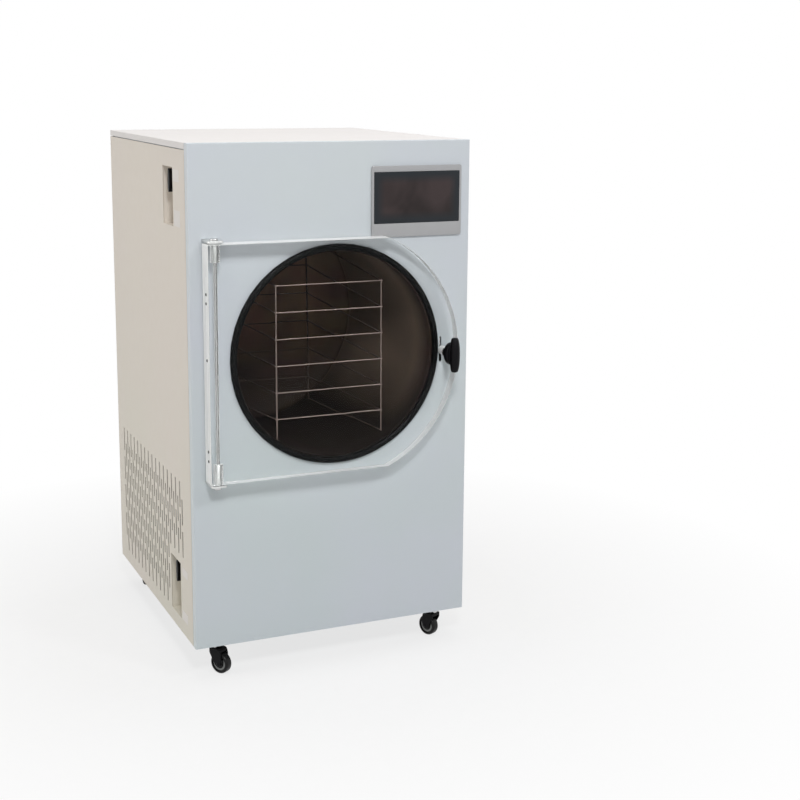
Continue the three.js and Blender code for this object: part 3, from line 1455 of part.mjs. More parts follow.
// A thick hose from the pump, up through the deck's passage, to the port at the back of the chamber.
function addVacuumHose() {
  const [passX, passY] = deckPassages.hose;
  const start = pumpCaseTop + pumpPortRise + fitGap;
  addPiece('vacuum_hose', pipe([
    [pumpPortX, pumpPortY, start],
    [pumpPortX, pumpPortY, start + 14],
    [pumpPortX, pumpPortY + 6, start + 40],
    [pumpPortX + 30, pumpPortY + 90, deckZ - 60],
    [passX + 190, passY - 170, deckZ - 52],
    [passX + 100, passY - 40, deckZ - 44],
    [passX + 30, passY, deckZ + 20],
    [passX + 10, passY + 2, chamberZ - 120],
    [20, jacketBack + 58, chamberZ - 30],
    [0, jacketBack + 34, chamberZ],
    [0, Math.max(vacuumPortEnd, jacketBack) + 12, chamberZ],
    [0, vacuumPortEnd + fitGap, chamberZ],
  ], hoseRadius, 7, 22), 'blackRubber');
}

// Controls

function addControlBox() {
  const low = shoulderZ + fitGap;
  const front = controlRailFront + angleThickness + controlClearance;
  const back = controlRailRear - controlClearance;
  const outline = roundedRectangle(front, low, back, low + controlHeight, 3);
  const parts = [prism('yzx', outline, controlX, controlX + controlWidth, 2)];
  for (const share of [0.3, 0.5, 0.7]) {
    const centre = [0, front + (back - front) * share, low + controlHeight / 2];
    parts.push(rod('x', centre, cableGlandRadius, controlX - cableGlandReach, controlX + 1, 10));
  }
  addPiece('control_box', joined(...parts), 'galvanised');
}

// A socket with three flat pins, in a flange that lies on the back panel.
function addPowerInlet() {
  const [x, z] = [inletX, baseZ + inletHeight];
  const [w, h] = [inletWidth / 2, inletTall / 2];
  const [flangeW, flangeH] = [w + inletFlange, h + inletFlange];
  const [inner, flangeFront] = [cabinetDepth - inletDepth, cabinetDepth + fitGap];
  const flange = roundedRectangle(x - flangeW, z - flangeH, x + flangeW, z + flangeH, 3);
  const shell = joined(
    prism('xzy', flange, flangeFront, rearFace, 2),
    block(x - w, x + w, inner, flangeFront + 1, z - h, z + h),
  );
  const [socketW, socketH] = [w - inletWall - inletCheek, h - inletWall];
  const floor = inner + inletWall + 4;
  const hollow = block(x - socketW, x + socketW, floor, rearFace + 1, z - socketH, z + socketH);
  const [pinW, pinH] = [inletPinWidth / 2, inletPinHeight / 2];
  const pins = [-inletPinPitch, 0, inletPinPitch].map((shift) => block(
    x + shift - pinW, x + shift + pinW, floor - 3, cabinetDepth - inletPinSetback, z - pinH, z + pinH,
  ));
  addPiece('power_inlet', joined(cut(shell, hollow), ...pins), 'blackPlastic');
}

// Casters

// A plate under the pan with the swivel's race and kingpin. A row of balls is left out of the race.
function casterPlate() {
  const plateTop = baseZ - fitGap;
  const plateBottom = plateTop - casterPlateSheet;
  const raceBottom = crownTop + fitGap;
  const pinBottom = crownTop - crownHeight + 1;
  const half = casterPlateSize / 2;
  const plate = prism('xyz', roundedRectangle(-half, -half, half, half, 5), plateBottom, plateTop, 1);
  const race = turned('z', [0, 0, 0], [
    [0, pinBottom],
    [kingpinRadius, pinBottom],
    [kingpinRadius, raceBottom],
    [raceRadius - 4, raceBottom],
    [raceRadius, raceBottom + 6],
    [raceRadius, plateBottom + 0.5],
    [0, plateBottom + 0.5],
  ], 10);
  return joined(plate, race);
}

// Two cheeks under a hood, trailing behind the kingpin, with the axle through both.
function casterFork() {
  const cheekInner = wheelWidth / 2 + cheekGap;
  const cheekOuter = cheekInner + cheekThickness;
  const axleEnd = cheekOuter + 1.5;
  const crownBottom = crownTop - crownHeight;
  const shoulder = crownTop - 1;
  const [axleY, axleZ] = [casterTrail, wheelRadius];
  const cheek = new THREE.Shape()
    .moveTo(-crownHalfWidth, shoulder)
    .lineTo(-crownHalfWidth, crownBottom - 4)
    .quadraticCurveTo(axleY - 14, axleZ + 6, axleY - 8, axleZ - 3)
    .quadraticCurveTo(axleY, axleZ - 14, axleY + 8, axleZ - 3)
    .quadraticCurveTo(axleY + 13, axleZ + 12, axleY + 9, crownBottom - 2)
    .quadraticCurveTo(axleY + 7, shoulder, crownHalfWidth, shoulder);
  const hood = new THREE.Shape()
    .moveTo(-crownHalfWidth, shoulder)
    .lineTo(-crownHalfWidth, crownBottom)
    .lineTo(axleY + 8, crownBottom)
    .quadraticCurveTo(axleY + 7, shoulder, crownHalfWidth, shoulder);
  const pinBore = rod('z', [0, 0, 0], kingpinRadius + fitGap, crownBottom - 1, crownTop + 1, 12);
  return joined(
    cut(prism('yzx', hood, -cheekOuter, cheekOuter, 2), pinBore),
    prism('yzx', cheek, -cheekOuter, -cheekInner, 2),
    prism('yzx', cheek, cheekInner, cheekOuter, 2),
    rod('x', [0, axleY, axleZ], axleRadius, -axleEnd, axleEnd, 8),
  );
}

// A tyre, a hollow on each side and a hub.
function casterWheel() {
  const w = wheelWidth / 2;
  const r = wheelRadius / Math.cos(Math.PI / wheelSides);
  const bore = axleRadius + axlePlay;
  return turned('x', [0, casterTrail, wheelRadius], [
    [bore, -w],
    [r * 0.38, -w],
    [r * 0.44, -w + 3],
    [r * 0.76, -w + 3],
    [r * 0.85, -w],
    [r, -w * 0.5],
    [r, w * 0.5],
    [r * 0.85, w],
    [r * 0.76, w - 3],
    [r * 0.44, w - 3],
    [r * 0.38, w],
    [bore, w],
    [bore, -w],
  ], wheelSides, Math.PI / wheelSides);
}

function addCaster(corner, x, y, swivelDegrees) {
  const fixed = new THREE.Group();
  fixed.position.set(x, y, 0);
  machine.add(fixed);
  addPiece(`caster_plate_${corner}`, casterPlate(), 'brightSteel', fixed);

  const swivel = new THREE.Group();
  swivel.rotation.z = THREE.MathUtils.degToRad(swivelDegrees);
  fixed.add(swivel);
  addPiece(`caster_fork_${corner}`, casterFork(), 'blackPlastic', swivel);
  addPiece(`caster_wheel_${corner}`, casterWheel(), 'blackRubber', swivel);
}

function addCasters() {
  const x = halfWidth - casterInsetX;
  const back = cabinetDepth - casterInsetY;
  addCaster('front_left', -x, casterInsetY, 213);
  addCaster('front_right', x, casterInsetY, 23.5);
  addCaster('rear_left', -x, back, 150);
  addCaster('rear_right', x, back, 35);
}

addBasePan();
addInnerFrame();
addFrontPanel();
addSidePanels();
addBackPanel();
addTopCover();
addDeck();
addDrum();
addJacket();
addGasket();
addRack();
addCradles();
addDoor();
addHingeBushes();
addHingeEars();
addHingeRod();
addLatchSeats();
addLatchShaft();
addKnob();
addScreen();
addVent();
addDrain();
addCoil();
addFanShroud();
addFanMotor();
addFanRotor();
addCompressor();
addRefrigerantLines();
addFilterDrier();
addPump();
addVacuumHose();
addControlBox();
addPowerInlet();
addCasters();

const group = new THREE.Group();
group.add(machine);
export default group;
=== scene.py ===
# A cabinet freeze dryer on casters, finished round its fixed frame. Metres, +Z up, -Y out of the front.
import json
import math

import bmesh
import bpy
from mathutils import Matrix, Vector


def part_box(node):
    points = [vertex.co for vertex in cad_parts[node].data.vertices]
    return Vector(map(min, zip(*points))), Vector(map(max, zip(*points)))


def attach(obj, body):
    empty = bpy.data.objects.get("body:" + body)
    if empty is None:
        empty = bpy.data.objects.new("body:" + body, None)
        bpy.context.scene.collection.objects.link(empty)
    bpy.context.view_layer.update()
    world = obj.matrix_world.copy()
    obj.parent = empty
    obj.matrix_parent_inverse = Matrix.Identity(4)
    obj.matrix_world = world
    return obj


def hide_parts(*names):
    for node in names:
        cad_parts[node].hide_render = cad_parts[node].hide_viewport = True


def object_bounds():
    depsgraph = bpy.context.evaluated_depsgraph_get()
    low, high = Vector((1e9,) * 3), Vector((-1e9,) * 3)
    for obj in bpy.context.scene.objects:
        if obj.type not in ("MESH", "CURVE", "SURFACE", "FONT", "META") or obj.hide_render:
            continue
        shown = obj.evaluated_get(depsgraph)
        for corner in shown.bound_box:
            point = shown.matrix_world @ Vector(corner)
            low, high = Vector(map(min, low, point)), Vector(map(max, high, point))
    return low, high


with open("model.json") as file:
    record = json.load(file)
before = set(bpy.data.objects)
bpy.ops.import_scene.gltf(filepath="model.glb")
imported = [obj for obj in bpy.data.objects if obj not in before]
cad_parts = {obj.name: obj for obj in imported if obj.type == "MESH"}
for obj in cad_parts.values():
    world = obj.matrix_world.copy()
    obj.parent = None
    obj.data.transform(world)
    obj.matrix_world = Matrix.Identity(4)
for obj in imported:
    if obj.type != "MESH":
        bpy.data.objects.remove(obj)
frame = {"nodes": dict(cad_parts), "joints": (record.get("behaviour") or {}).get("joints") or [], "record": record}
cadLow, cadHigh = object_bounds()
nodes = frame["nodes"]
joints = {joint["name"]: joint for joint in frame["joints"]}
slotOfNode = {entry["node"]: entry["material_slot"] for entry in frame["record"]["subparts"]}
corners = ["front_left", "front_right", "rear_left", "rear_right"]
print("frame loaded:", len(nodes), "nodes")


def middleOf(nodeName):
    low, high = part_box(nodeName)
    return (low + high) / 2


chamberAxis = middleOf("door_gasket")
chamberCentre = (chamberAxis.x, 0, chamberAxis.z)
rodAxis = middleOf("hinge_rod")
rodCentre = (rodAxis.x, rodAxis.y, 0)

# how many sides each kind of turned shape has
roundness = {"chamber": 160, "wheel": 72, "hub": 64, "turned": 48, "panScrew": 28, "screw": 24, "wire": 14}


# Colours are written as they look on a screen and go to the shader as light.
def tone(red, green, blue):
    light = [c / 12.92 if c <= 0.04045 else ((c + 0.055) / 1.055) ** 2.4 for c in (red, green, blue)]
    return (*light, 1.0)


def dimmed(colour, share):
    return tone(*[c * share for c in colour])


def paled(colour, amount):
    return tone(*[c + amount for c in colour])


class Shade:
    # one output of a node, so that shader maths reads as arithmetic
    def __init__(self, graph, socket):
        self.graph = graph
        self.socket = socket

    def maths(self, operation, first, second, clamp=False):
        return self.graph.node("Math", {"operation": operation, "use_clamp": clamp}, {0: first, 1: second})

    def __add__(self, other):
        return self.maths("ADD", self, other)

    def __radd__(self, other):
        return self.maths("ADD", other, self)

    def __sub__(self, other):
        return self.maths("SUBTRACT", self, other)

    def __rsub__(self, other):
        return self.maths("SUBTRACT", other, self)

    def __mul__(self, other):
        return self.maths("MULTIPLY", self, other)

    def __rmul__(self, other):
        return self.maths("MULTIPLY", other, self)

    def __pow__(self, other):
        return self.maths("POWER", self, other)

    def __rpow__(self, other):
        return self.maths("POWER", other, self)

    def clamped(self):
        return self.maths("MULTIPLY", self, 1.0, clamp=True)

    # 0 up to start, and 1 from a width further on
    def rise(self, start, width):
        return ((self - start) * (1.0 / width)).clamped()

    # middle, give or take half a spread, as a pattern from 0 to 1 goes
    def about(self, middle, spread):
        return middle + (self - 0.5) * spread


class Graph:
    # the nodes of a material or of the world
    def __init__(self, tree):
        self.tree = tree
        self.tree.nodes.clear()

    # makes a node and gives one of its outputs, or the node itself where it has none
    def node(self, kind, settings, sockets, output=0):
        made = self.tree.nodes.new("ShaderNode" + kind)
        for key, value in settings.items():
            if key == "stops":
                self.fillRamp(made.color_ramp, value)
            else:
                setattr(made, key, value)
        for key, value in sockets.items():
            self.feed(made.inputs[key], value)
        return Shade(self, made.outputs[output]) if made.outputs else made

    def fillRamp(self, ramp, stops):
        while len(ramp.elements) < len(stops):
            ramp.elements.new(1.0)
        for element, (position, value) in zip(ramp.elements, stops):
            element.position = position
            element.color = (value, value, value, 1.0)

    def feed(self, socket, value):
        if isinstance(value, Shade):
            self.tree.links.new(value.socket, socket)
        else:
            socket.default_value = value

    # 1 for the kinds of ray that are named, else 0
    def rays(self, *names):
        total = 0.0
        for name in names:
            total = total + self.node("LightPath", {}, {}, name)
        return total.clamped()


class Finish(Graph):
    # a procedural material with one Principled shader, and others blended over it
    def __init__(self, name, **plain):
        self.material = bpy.data.materials.new(name)
        self.material.use_nodes = True
        super().__init__(self.material.node_tree)
        principled = self.node("BsdfPrincipled", {}, {})
        self.shader = principled.socket.node
        self.output = self.node("OutputMaterial", {}, {})
        self.show(principled)
        self.place = self.node("TexCoord", {}, {}, "Object")
        self.put(**plain)

    def show(self, surface):
        self.surface = surface
        self.tree.links.new(surface.socket, self.output.inputs["Surface"])

    # sockets of the Principled shader, with _ for each space in a name
    def put(self, **sockets):
        for key, value in sockets.items():
            self.feed(self.shader.inputs[key.replace("_", " ")], value)

    def along(self, axis):
        return self.node("SeparateXYZ", {}, {0: self.place}, axis)

    def mix(self, factor, first, second):
        return self.node("Mix", {"data_type": "RGBA"}, {0: factor, 6: first, 7: second}, 2)

    def noise(self, scale, detail=3.0, stretch=None, distortion=0.0):
        place = self.node("Mapping", {}, {"Vector": self.place, "Scale": stretch}) if stretch else self.place
        sockets = {"Vector": place, "Scale": scale, "Detail": detail, "Distortion": distortion}
        return self.node("TexNoise", {}, sockets)

    # a pattern drawn out between two of its values, to 0 and 1
    def between(self, pattern, low, high):
        return self.node("ValToRGB", {"stops": ((low, 0.0), (high, 1.0))}, {0: pattern})

    def bump(self, height, distance, strength=1.0):
        sockets = {"Strength": strength, "Distance": distance, "Height": height}
        self.put(Normal=self.node("Bump", {}, sockets))

    # shows another shader over what is there, by a factor
    def blend(self, factor, other):
        self.show(self.node("MixShader", {}, {0: factor, 1: self.surface, 2: other}))


# Sheet metal with a fine powder coat: three close tones, in a fall with height that is painted
# shade, darker low down, and in soft blotches, and a faint orange peel.
def powderCoat(name, upper, lower, other):
    look = {
        "top": 1.1, "blotchScale": 2.3, "blotchShare": 0.8,
        "rubScale": 38.0, "rubShare": 0.5, "rubDarker": 0.012,
        "roughness": 0.42, "roughnessSpread": 0.14,
        "peelScale": 620.0, "peelHeight": 0.00009, "peelStrength": 0.6,
    }
    finish = Finish(name, Specular_IOR_Level=0.4)
    blotch = finish.between(finish.noise(look["blotchScale"]), 0.36, 0.66)
    rub = finish.noise(look["rubScale"], 5.0)
    # painted shade: the lower tone darkens the sheet towards its foot, the upper tone is kept up high
    shade = finish.mix(finish.along("Z").rise(0.0, look["top"]), tone(*lower), tone(*upper))
    shade = finish.mix(blotch * look["blotchShare"], shade, tone(*other))
    shade = finish.mix(rub * look["rubShare"], shade, paled(upper, -look["rubDarker"]))
    finish.put(Base_Color=shade, Roughness=rub.about(look["roughness"], look["roughnessSpread"]))
    finish.bump(finish.noise(look["peelScale"], 2.0), look["peelHeight"], look["peelStrength"])
    return finish


# Rolled or polished steel, with fine lines drawn along one direction.
def drawnSteel(name, colour, roughness, lines):
    look = {
        "lineTone": 0.86, "lineHeight": 0.00003, "lineSpread": 0.1,
        "smudgeScale": 9.0, "smudgeSpread": 0.12,
    }
    finish = Finish(name, Metallic=1.0)
    grain = finish.noise(1.0, 4.0, stretch=lines)
    smear = finish.noise(look["smudgeScale"], 5.0, distortion=0.6)
    finish.put(
        Base_Color=finish.mix(grain, dimmed(colour, look["lineTone"]), tone(*colour)),
        Roughness=smear.about(roughness, look["smudgeSpread"]) + grain.about(0.0, look["lineSpread"]),
    )
    finish.bump(grain, look["lineHeight"], 0.5)
    return finish


# Stainless steel with painted light: brown and violet clouds and a reddish tint that are painted
# reflection, painted shade away from the middle and low down, a paler round wall, and a matt dished end.
def steelWithPaintedLight(name):
    look = {
        "dark": (0.42, 0.335, 0.31), "warm": (0.62, 0.52, 0.40),
        "reddish": (0.52, 0.37, 0.34), "reddishShare": 0.6,
        "edge": (0.09, 0.075, 0.075), "edgeStart": 0.15, "edgeWidth": 0.06, "edgeShare": 0.85,
        "edgeLessAtRear": 0.4, "dishDepth": 0.077, "dishFade": 0.01,
        "lowStart": -0.16, "lowWidth": 1 / 7, "lowShare": 0.8,
        "wall": (0.56, 0.49, 0.43), "wallStart": 0.2332, "wallWidth": 0.0012, "wallShare": 0.6,
        "mouthDepth": 0.03, "mouthFade": 1 / 12, "liftStart": -0.19, "liftWidth": 0.125,
        "metal": 0.3, "roughness": 0.58, "brushSpread": 0.2, "cloudSpread": 0.1,
    }
    finish = Finish(name, Specular_IOR_Level=0.1)
    across = finish.along("X") - chamberAxis.x
    upright = finish.along("Z") - chamberAxis.z
    radius = (across * across + upright * upright) ** 0.5
    wall = radius.rise(look["wallStart"], look["wallWidth"])
    edge = radius.rise(look["edgeStart"], look["edgeWidth"])
    rear = finish.along("Y").rise(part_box("chamber_drum")[1].y - look["dishDepth"], look["dishFade"])
    deep = finish.along("Y").rise(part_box("door_gasket")[0].y + look["mouthDepth"], look["mouthFade"])
    lifted = upright.rise(look["liftStart"], look["liftWidth"])
    low = 1.0 - upright.rise(look["lowStart"], look["lowWidth"])
    cloud = finish.between(finish.noise(4.2, stretch=(1.0, 0.5, 1.0), distortion=0.4), 0.40, 0.66)
    tint = finish.between(finish.noise(6.5, 2.0, stretch=(1.0, 0.4, 1.3), distortion=0.3), 0.44, 0.62)
    brushed = finish.noise(1.0, 4.0, stretch=(14.0, 260.0, 14.0))
    # painted reflection: brown and violet clouds with a reddish tint
    shade = finish.mix(cloud, tone(*look["dark"]), tone(*look["warm"]))
    shade = finish.mix(tint * look["reddishShare"], shade, tone(*look["reddish"]))
    # painted shade: darker away from the middle, less so on the dished end, and darker low down
    edgeShare = look["edgeShare"] - rear * look["edgeLessAtRear"]
    shade = finish.mix(edge * edgeShare, shade, tone(*look["edge"]))
    shade = finish.mix(low * look["lowShare"], shade, tone(*look["edge"]))
    # the paler round wall is partly the steel's own tone and partly painted highlight, kept above the low part and
    # behind the mouth
    wallShare = look["wallShare"] + cloud * (1.0 - look["wallShare"])
    shade = finish.mix(wall * deep * lifted * wallShare, shade, tone(*look["wall"]))
    brushing = brushed.about(look["roughness"], look["brushSpread"])
    finish.put(
        Base_Color=shade,
        Metallic=(1.0 - rear) * look["metal"],
        Roughness=brushing + cloud.about(0.0, look["cloudSpread"]),
    )
    return finish


# Zinc coated steel with a flaky spangle.
def zincCoat(name):
    look = {
        "dull": (0.62, 0.64, 0.66), "bright": (0.76, 0.78, 0.79), "stain": (0.60, 0.60, 0.60),
        "flakeScale": 95.0, "stainShare": 0.4, "roughness": 0.36, "flakeSpread": 0.18,
    }
    finish = Finish(name, Metallic=0.85)
    cells = finish.node("TexVoronoi", {}, {"Vector": finish.place, "Scale": look["flakeScale"]}, "Color")
    flake = finish.node("SeparateColor", {}, {0: cells}, "Red")
    stain = finish.noise(7.0, 5.0)
    shade = finish.mix(flake, tone(*look["dull"]), tone(*look["bright"]))
    shade = finish.mix(stain * look["stainShare"], shade, tone(*look["stain"]))
    finish.put(Base_Color=shade, Roughness=look["roughness"] + flake * look["flakeSpread"])
    finish.bump(flake, 0.00004, 0.4)
    return finish


# Brass and copper, bright in places and tarnished in others.
def softMetal(name, bright, dull, roughness):
    finish = Finish(name, Metallic=1.0)
    tarnish = finish.noise(22.0, 6.0, distortion=0.4)
    finish.put(
        Base_Color=finish.mix(finish.between(tarnish, 0.35, 0.7), tone(*bright), tone(*dull)),
        Roughness=tarnish.about(roughness, 0.3),
    )
    finish.bump(finish.noise(300.0, 2.0), 0.00005, 0.4)
    return finish


# Moulded plastic, rubber or enamel: fine grain, slight dust, and paler edges where asked for, partly wear and
# partly painted highlight.
def moulded(
    name, colour, roughness, grainScale=900.0, grainHeight=0.00006, edgeWearAndHighlight=0.0, coat=0.0, shine=0.5,
):
    look = {
        "dustScale": 45.0, "dustShare": 0.5, "dustPaler": 0.035,
        "edgeWearAndHighlightPaler": 0.16, "roughnessSpread": 0.16,
    }
    finish = Finish(name, Coat_Weight=coat, Coat_Roughness=0.12, Specular_IOR_Level=shine)
    dust = finish.noise(look["dustScale"], 5.0)
    shade = finish.mix(dust * look["dustShare"], tone(*colour), paled(colour, look["dustPaler"]))
    if edgeWearAndHighlight:
        # paler edges: partly wear, partly painted highlight
        edge = finish.between(finish.node("NewGeometry", {}, {}, "Pointiness"), 0.505, 0.58)
        shade = finish.mix(edge * edgeWearAndHighlight, shade, paled(colour, look["edgeWearAndHighlightPaler"]))
    finish.put(Base_Color=shade, Roughness=dust.about(roughness, look["roughnessSpread"]))
    finish.bump(finish.noise(grainScale, 2.0), grainHeight, 0.6)
    return finish


# Closed cell foam round the chamber.
def foamFinish(name):
    finish = Finish(name)
    cells = finish.node("TexVoronoi", {}, {"Vector": finish.place, "Scale": 420.0})
    finish.put(
        Base_Color=finish.mix(cells, tone(0.08, 0.08, 0.085), tone(0.17, 0.17, 0.175)),
        Roughness=cells.about(0.9, 0.1),
    )
    finish.bump(cells, 0.0004, 0.7)
    return finish


# Thick acrylic with polished faces and sawn, sanded edges that look like frost.
def acrylicFinish(name):
    look = {
        "reflection": 0.05,  # little, so that the faces throw no sparkle on what lies behind them
        "body": (0.997, 1.0, 0.998), "scuff": 0.12, "scuffStart": 0.62,
        "edgeReach": 1.2, "edgeFall": 1.6, "haze": 0.85, "edgeShade": 0.97,
        "groundDark": (0.965, 0.97, 0.97), "groundPale": (0.985, 0.988, 0.988), "groundRoughness": 0.5,
    }
    finish = Finish(
        name, Base_Color=tone(*look["body"]), Transmission_Weight=1.0, IOR=1.49,
        Specular_Tint=(look["reflection"], look["reflection"], look["reflection"], 1.0),
    )
    scuff = finish.noise(60.0, 6.0, stretch=(1.0, 1.0, 0.35), distortion=0.5)
    finish.put(Roughness=(scuff - look["scuffStart"]).clamped() * look["scuff"])
    finish.bump(finish.noise(5.0, 1.0), 0.0002, 0.05)
    facing = finish.node("SeparateXYZ", {}, {0: finish.node("TexCoord", {}, {}, "Normal")}, "Y")
    edge = (look["edgeReach"] - facing * facing * look["edgeFall"]).clamped()
    grind = finish.noise(240.0, 4.0, stretch=(1.0, 0.12, 1.0))
    frost = finish.node("BsdfPrincipled", {}, {
        "Base Color": finish.mix(grind, tone(*look["groundDark"]), tone(*look["groundPale"])),
        "Roughness": look["groundRoughness"], "Specular IOR Level": 0.4,
    })
    finish.blend(edge * look["haze"], frost)
    # lamp light passes the faces, so that what lies behind the door is lit, and the edges shade it
    clear = finish.node("BsdfTransparent", {}, {"Color": (1.0, 1.0, 1.0, 1.0)})
    passing = finish.rays("Is Shadow Ray", "Is Diffuse Ray") * (1.0 - edge * look["edgeShade"])
    finish.blend(passing, clear)
    return finish


# Wire with slight stain blotches, darker towards the back of the chamber in painted shade.
def wireFinish(name):
    look = {
        "front": (0.61, 0.545, 0.52), "back": (0.36, 0.31, 0.285), "stainTone": 0.88,
        "lead": 0.00365, "depth": 0.05, "roughness": 0.36, "stainSpread": 0.12, "depthSpread": 0.3,
    }
    finish = Finish(name, Metallic=1.0)
    # painted shade: the wire darkens within a few centimetres of the rack's front, deeper in the chamber
    depth = finish.along("Y").rise(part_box("tray_rack")[0].y - look["lead"], look["depth"])
    stain = finish.noise(60.0, 4.0)
    shade = finish.mix(stain, tone(*look["front"]), dimmed(look["front"], look["stainTone"]))
    finish.put(
        Base_Color=finish.mix(depth, shade, tone(*look["back"])),
        Roughness=look["roughness"] + stain * look["stainSpread"] + depth * look["depthSpread"],
    )
    return finish


# Glass over a display at rest: a slate border, and a brown picture area with soft paler clouds of painted
# reflection.
def screenFinish(name):
    look = {
        "slate": (0.12, 0.142, 0.163), "picture": (0.148, 0.11, 0.108), "glow": (0.235, 0.188, 0.188),
        "margin": 0.007, "fade": 0.02, "roughness": 0.09, "fingerMarks": 0.14,
    }
    finish = Finish(name, Coat_Weight=0.15, Coat_Roughness=0.03, Specular_IOR_Level=0.2)
    low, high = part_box("screen_glass")
    middle, half = (low + high) / 2, (high - low) / 2
    inside = 1.0
    for axis, centre, reach in (("X", middle.x, half.x), ("Z", middle.z, half.z)):
        away = finish.node("Math", {"operation": "ABSOLUTE"}, {0: finish.along(axis) - centre})
        inside = inside * (reach - away).rise(look["margin"], look["fade"])
    # painted reflection: soft paler clouds over the brown picture area
    glow = finish.between(finish.noise(11.0, 2.0, stretch=(1.0, 1.0, 0.7), distortion=0.6), 0.40, 0.62)
    finger = finish.between(finish.noise(55.0, 6.0, distortion=0.8), 0.5, 0.75)
    picture = finish.mix(glow, tone(*look["picture"]), tone(*look["glow"]))
    finish.put(
        Base_Color=finish.mix(inside, tone(*look["slate"]), picture),
        Roughness=look["roughness"] + finger * look["fingerMarks"],
    )
    return finish


# Finishes by the record's material slots
finishes = {
    "front_paint": powderCoat(
        "frontPaint", upper=(0.825, 0.85, 0.86), lower=(0.79, 0.835, 0.838), other=(0.822, 0.836, 0.874),
    ),
    "side_paint": powderCoat(
        "sidePaint", upper=(0.872, 0.838, 0.793), lower=(0.834, 0.823, 0.767), other=(0.862, 0.826, 0.79),
    ),
    "galvanised": zincCoat("zincSteel"),
    "stainless": steelWithPaintedLight("chamberSteel"),
    "bright_steel": drawnSteel("polishedSteel", (0.80, 0.80, 0.80), 0.2, lines=(400.0, 400.0, 40.0)),
    "brass": softMetal("valveBrass", (0.83, 0.70, 0.42), (0.58, 0.46, 0.27), 0.32),
    "copper": softMetal("tubeCopper", (0.80, 0.53, 0.40), (0.50, 0.31, 0.24), 0.34),
    "black_rubber": moulded("blackRubber", (0.03, 0.032, 0.035), 0.5, grainScale=700.0, shine=0.07),
    "black_plastic": moulded(
        "blackPlastic", (0.03, 0.028, 0.038), 0.42,
        grainScale=1100.0, grainHeight=0.00004, edgeWearAndHighlight=0.15, shine=0.11,
    ),
    "black_foam": foamFinish("cellFoam"),
    "black_enamel": moulded(
        "blackEnamel", (0.07, 0.07, 0.075), 0.28,
        grainScale=260.0, grainHeight=0.00012, coat=0.5,
    ),
    "grey_bezel": moulded("bezelSilver", (0.665, 0.665, 0.67), 0.32, grainScale=1300.0, grainHeight=0.00003),
    "dark_glass": screenFinish("screenGlass"),
    "clear_acrylic": acrylicFinish("doorAcrylic"),
    "white_enamel": moulded("fanEnamel", (0.82, 0.82, 0.80), 0.35, grainScale=500.0, grainHeight=0.00005),
}
for nodeName, node in nodes.items():
    node.material_slots[0].material = finishes[slotOfNode[nodeName]].material
# painted light: the side paint made paler and less yellow for the top, where more light falls
coverPaint = powderCoat(
    "coverPaint", upper=(0.885, 0.87, 0.862), lower=(0.88, 0.87, 0.86), other=(0.89, 0.872, 0.868),
)
nodes["top_cover"].material_slots[0].material = coverPaint.material
print("finishes made:", len(finishes) + 1)


# Shapes

def smoothShaded(mesh, sharpAngle=None):
    mesh.polygons.foreach_set("use_smooth", [True] * len(mesh.polygons))
    if sharpAngle:
        mesh.set_sharp_from_angle(angle=math.radians(sharpAngle))


def meshFrom(name, shape, sharpAngle=35.0):
    mesh = bpy.data.meshes.new(name)
    bmesh.ops.recalc_face_normals(shape, faces=shape.faces)
    shape.to_mesh(mesh)
    shape.free()
    smoothShaded(mesh, sharpAngle)
    return mesh


# Adds a part to a whole shape and frees the part.
def addShape(whole, part):
    mesh = bpy.data.meshes.new("part")
    part.to_mesh(mesh)
    part.free()
    whole.from_mesh(mesh)
    bpy.data.meshes.remove(mesh)


def newPiece(name, mesh, slotName, body, replaced=(), finish=None):
    piece = bpy.data.objects.new(name, mesh)
    bpy.context.scene.collection.objects.link(piece)
    piece.data.materials.clear()
    piece.data.materials.append((finish or finishes[slotName]).material)
    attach(piece, body)
    if replaced:
        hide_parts(*replaced)
    return piece


# A profile of (radius, distance along the axis), turned about an axis through a centre.
# A closed loop of a profile makes a ring or a tube.
def lathe(profile, sides, axis, centre, closedLoop=False):
    shape = bmesh.new()
    rings = []
    for radius, along in profile:
        if radius == 0:
            rings.append([shape.verts.new((0.0, 0.0, along))])
            continue
        turns = [2 * math.pi * i / sides for i in range(sides)]
        rings.append([shape.verts.new((radius * math.cos(t), radius * math.sin(t), along)) for t in turns])
    if closedLoop:
        rings.append(rings[0])
    for near, far in zip(rings, rings[1:]):
        if len(near) == 1 and len(far) == 1:
            continue
        for i in range(sides):
            j = (i + 1) % sides
            loop = [near[i % len(near)], near[j % len(near)], far[j % len(far)], far[i % len(far)]]
            shape.faces.new(list(dict.fromkeys(loop)))
    turn = Vector((0, 0, 1)).rotation_difference(Vector(axis)).to_matrix().to_4x4()
    shape.transform(Matrix.Translation(centre) @ turn)
    return shape


def bore(radius, start, end, axis, centre):
    profile = [(0, start), (radius, start), (radius, end), (0, end)]
    return lathe(profile, roundness["turned"], axis, centre)


# Points of an arc about a centre, between two angles in degrees.
def arcPoints(u, v, radius, start, end, steps):
    angles = [math.radians(start + (end - start) * i / steps) for i in range(steps + 1)]
    return [(u + radius * math.cos(a), v + radius * math.sin(a)) for a in angles]


# An outline drawn on X and Z, extruded along Y.
def slab(outline, front, back):
    shape = bmesh.new()
    near = [shape.verts.new((x, front, z)) for x, z in outline]
    far = [shape.verts.new((x, back, z)) for x, z in outline]
    shape.faces.new(near)
    shape.faces.new(far[::-1])
    for i in range(len(outline)):
        j = (i + 1) % len(outline)
        shape.faces.new([near[i], far[i], far[j], near[j]])
    return shape


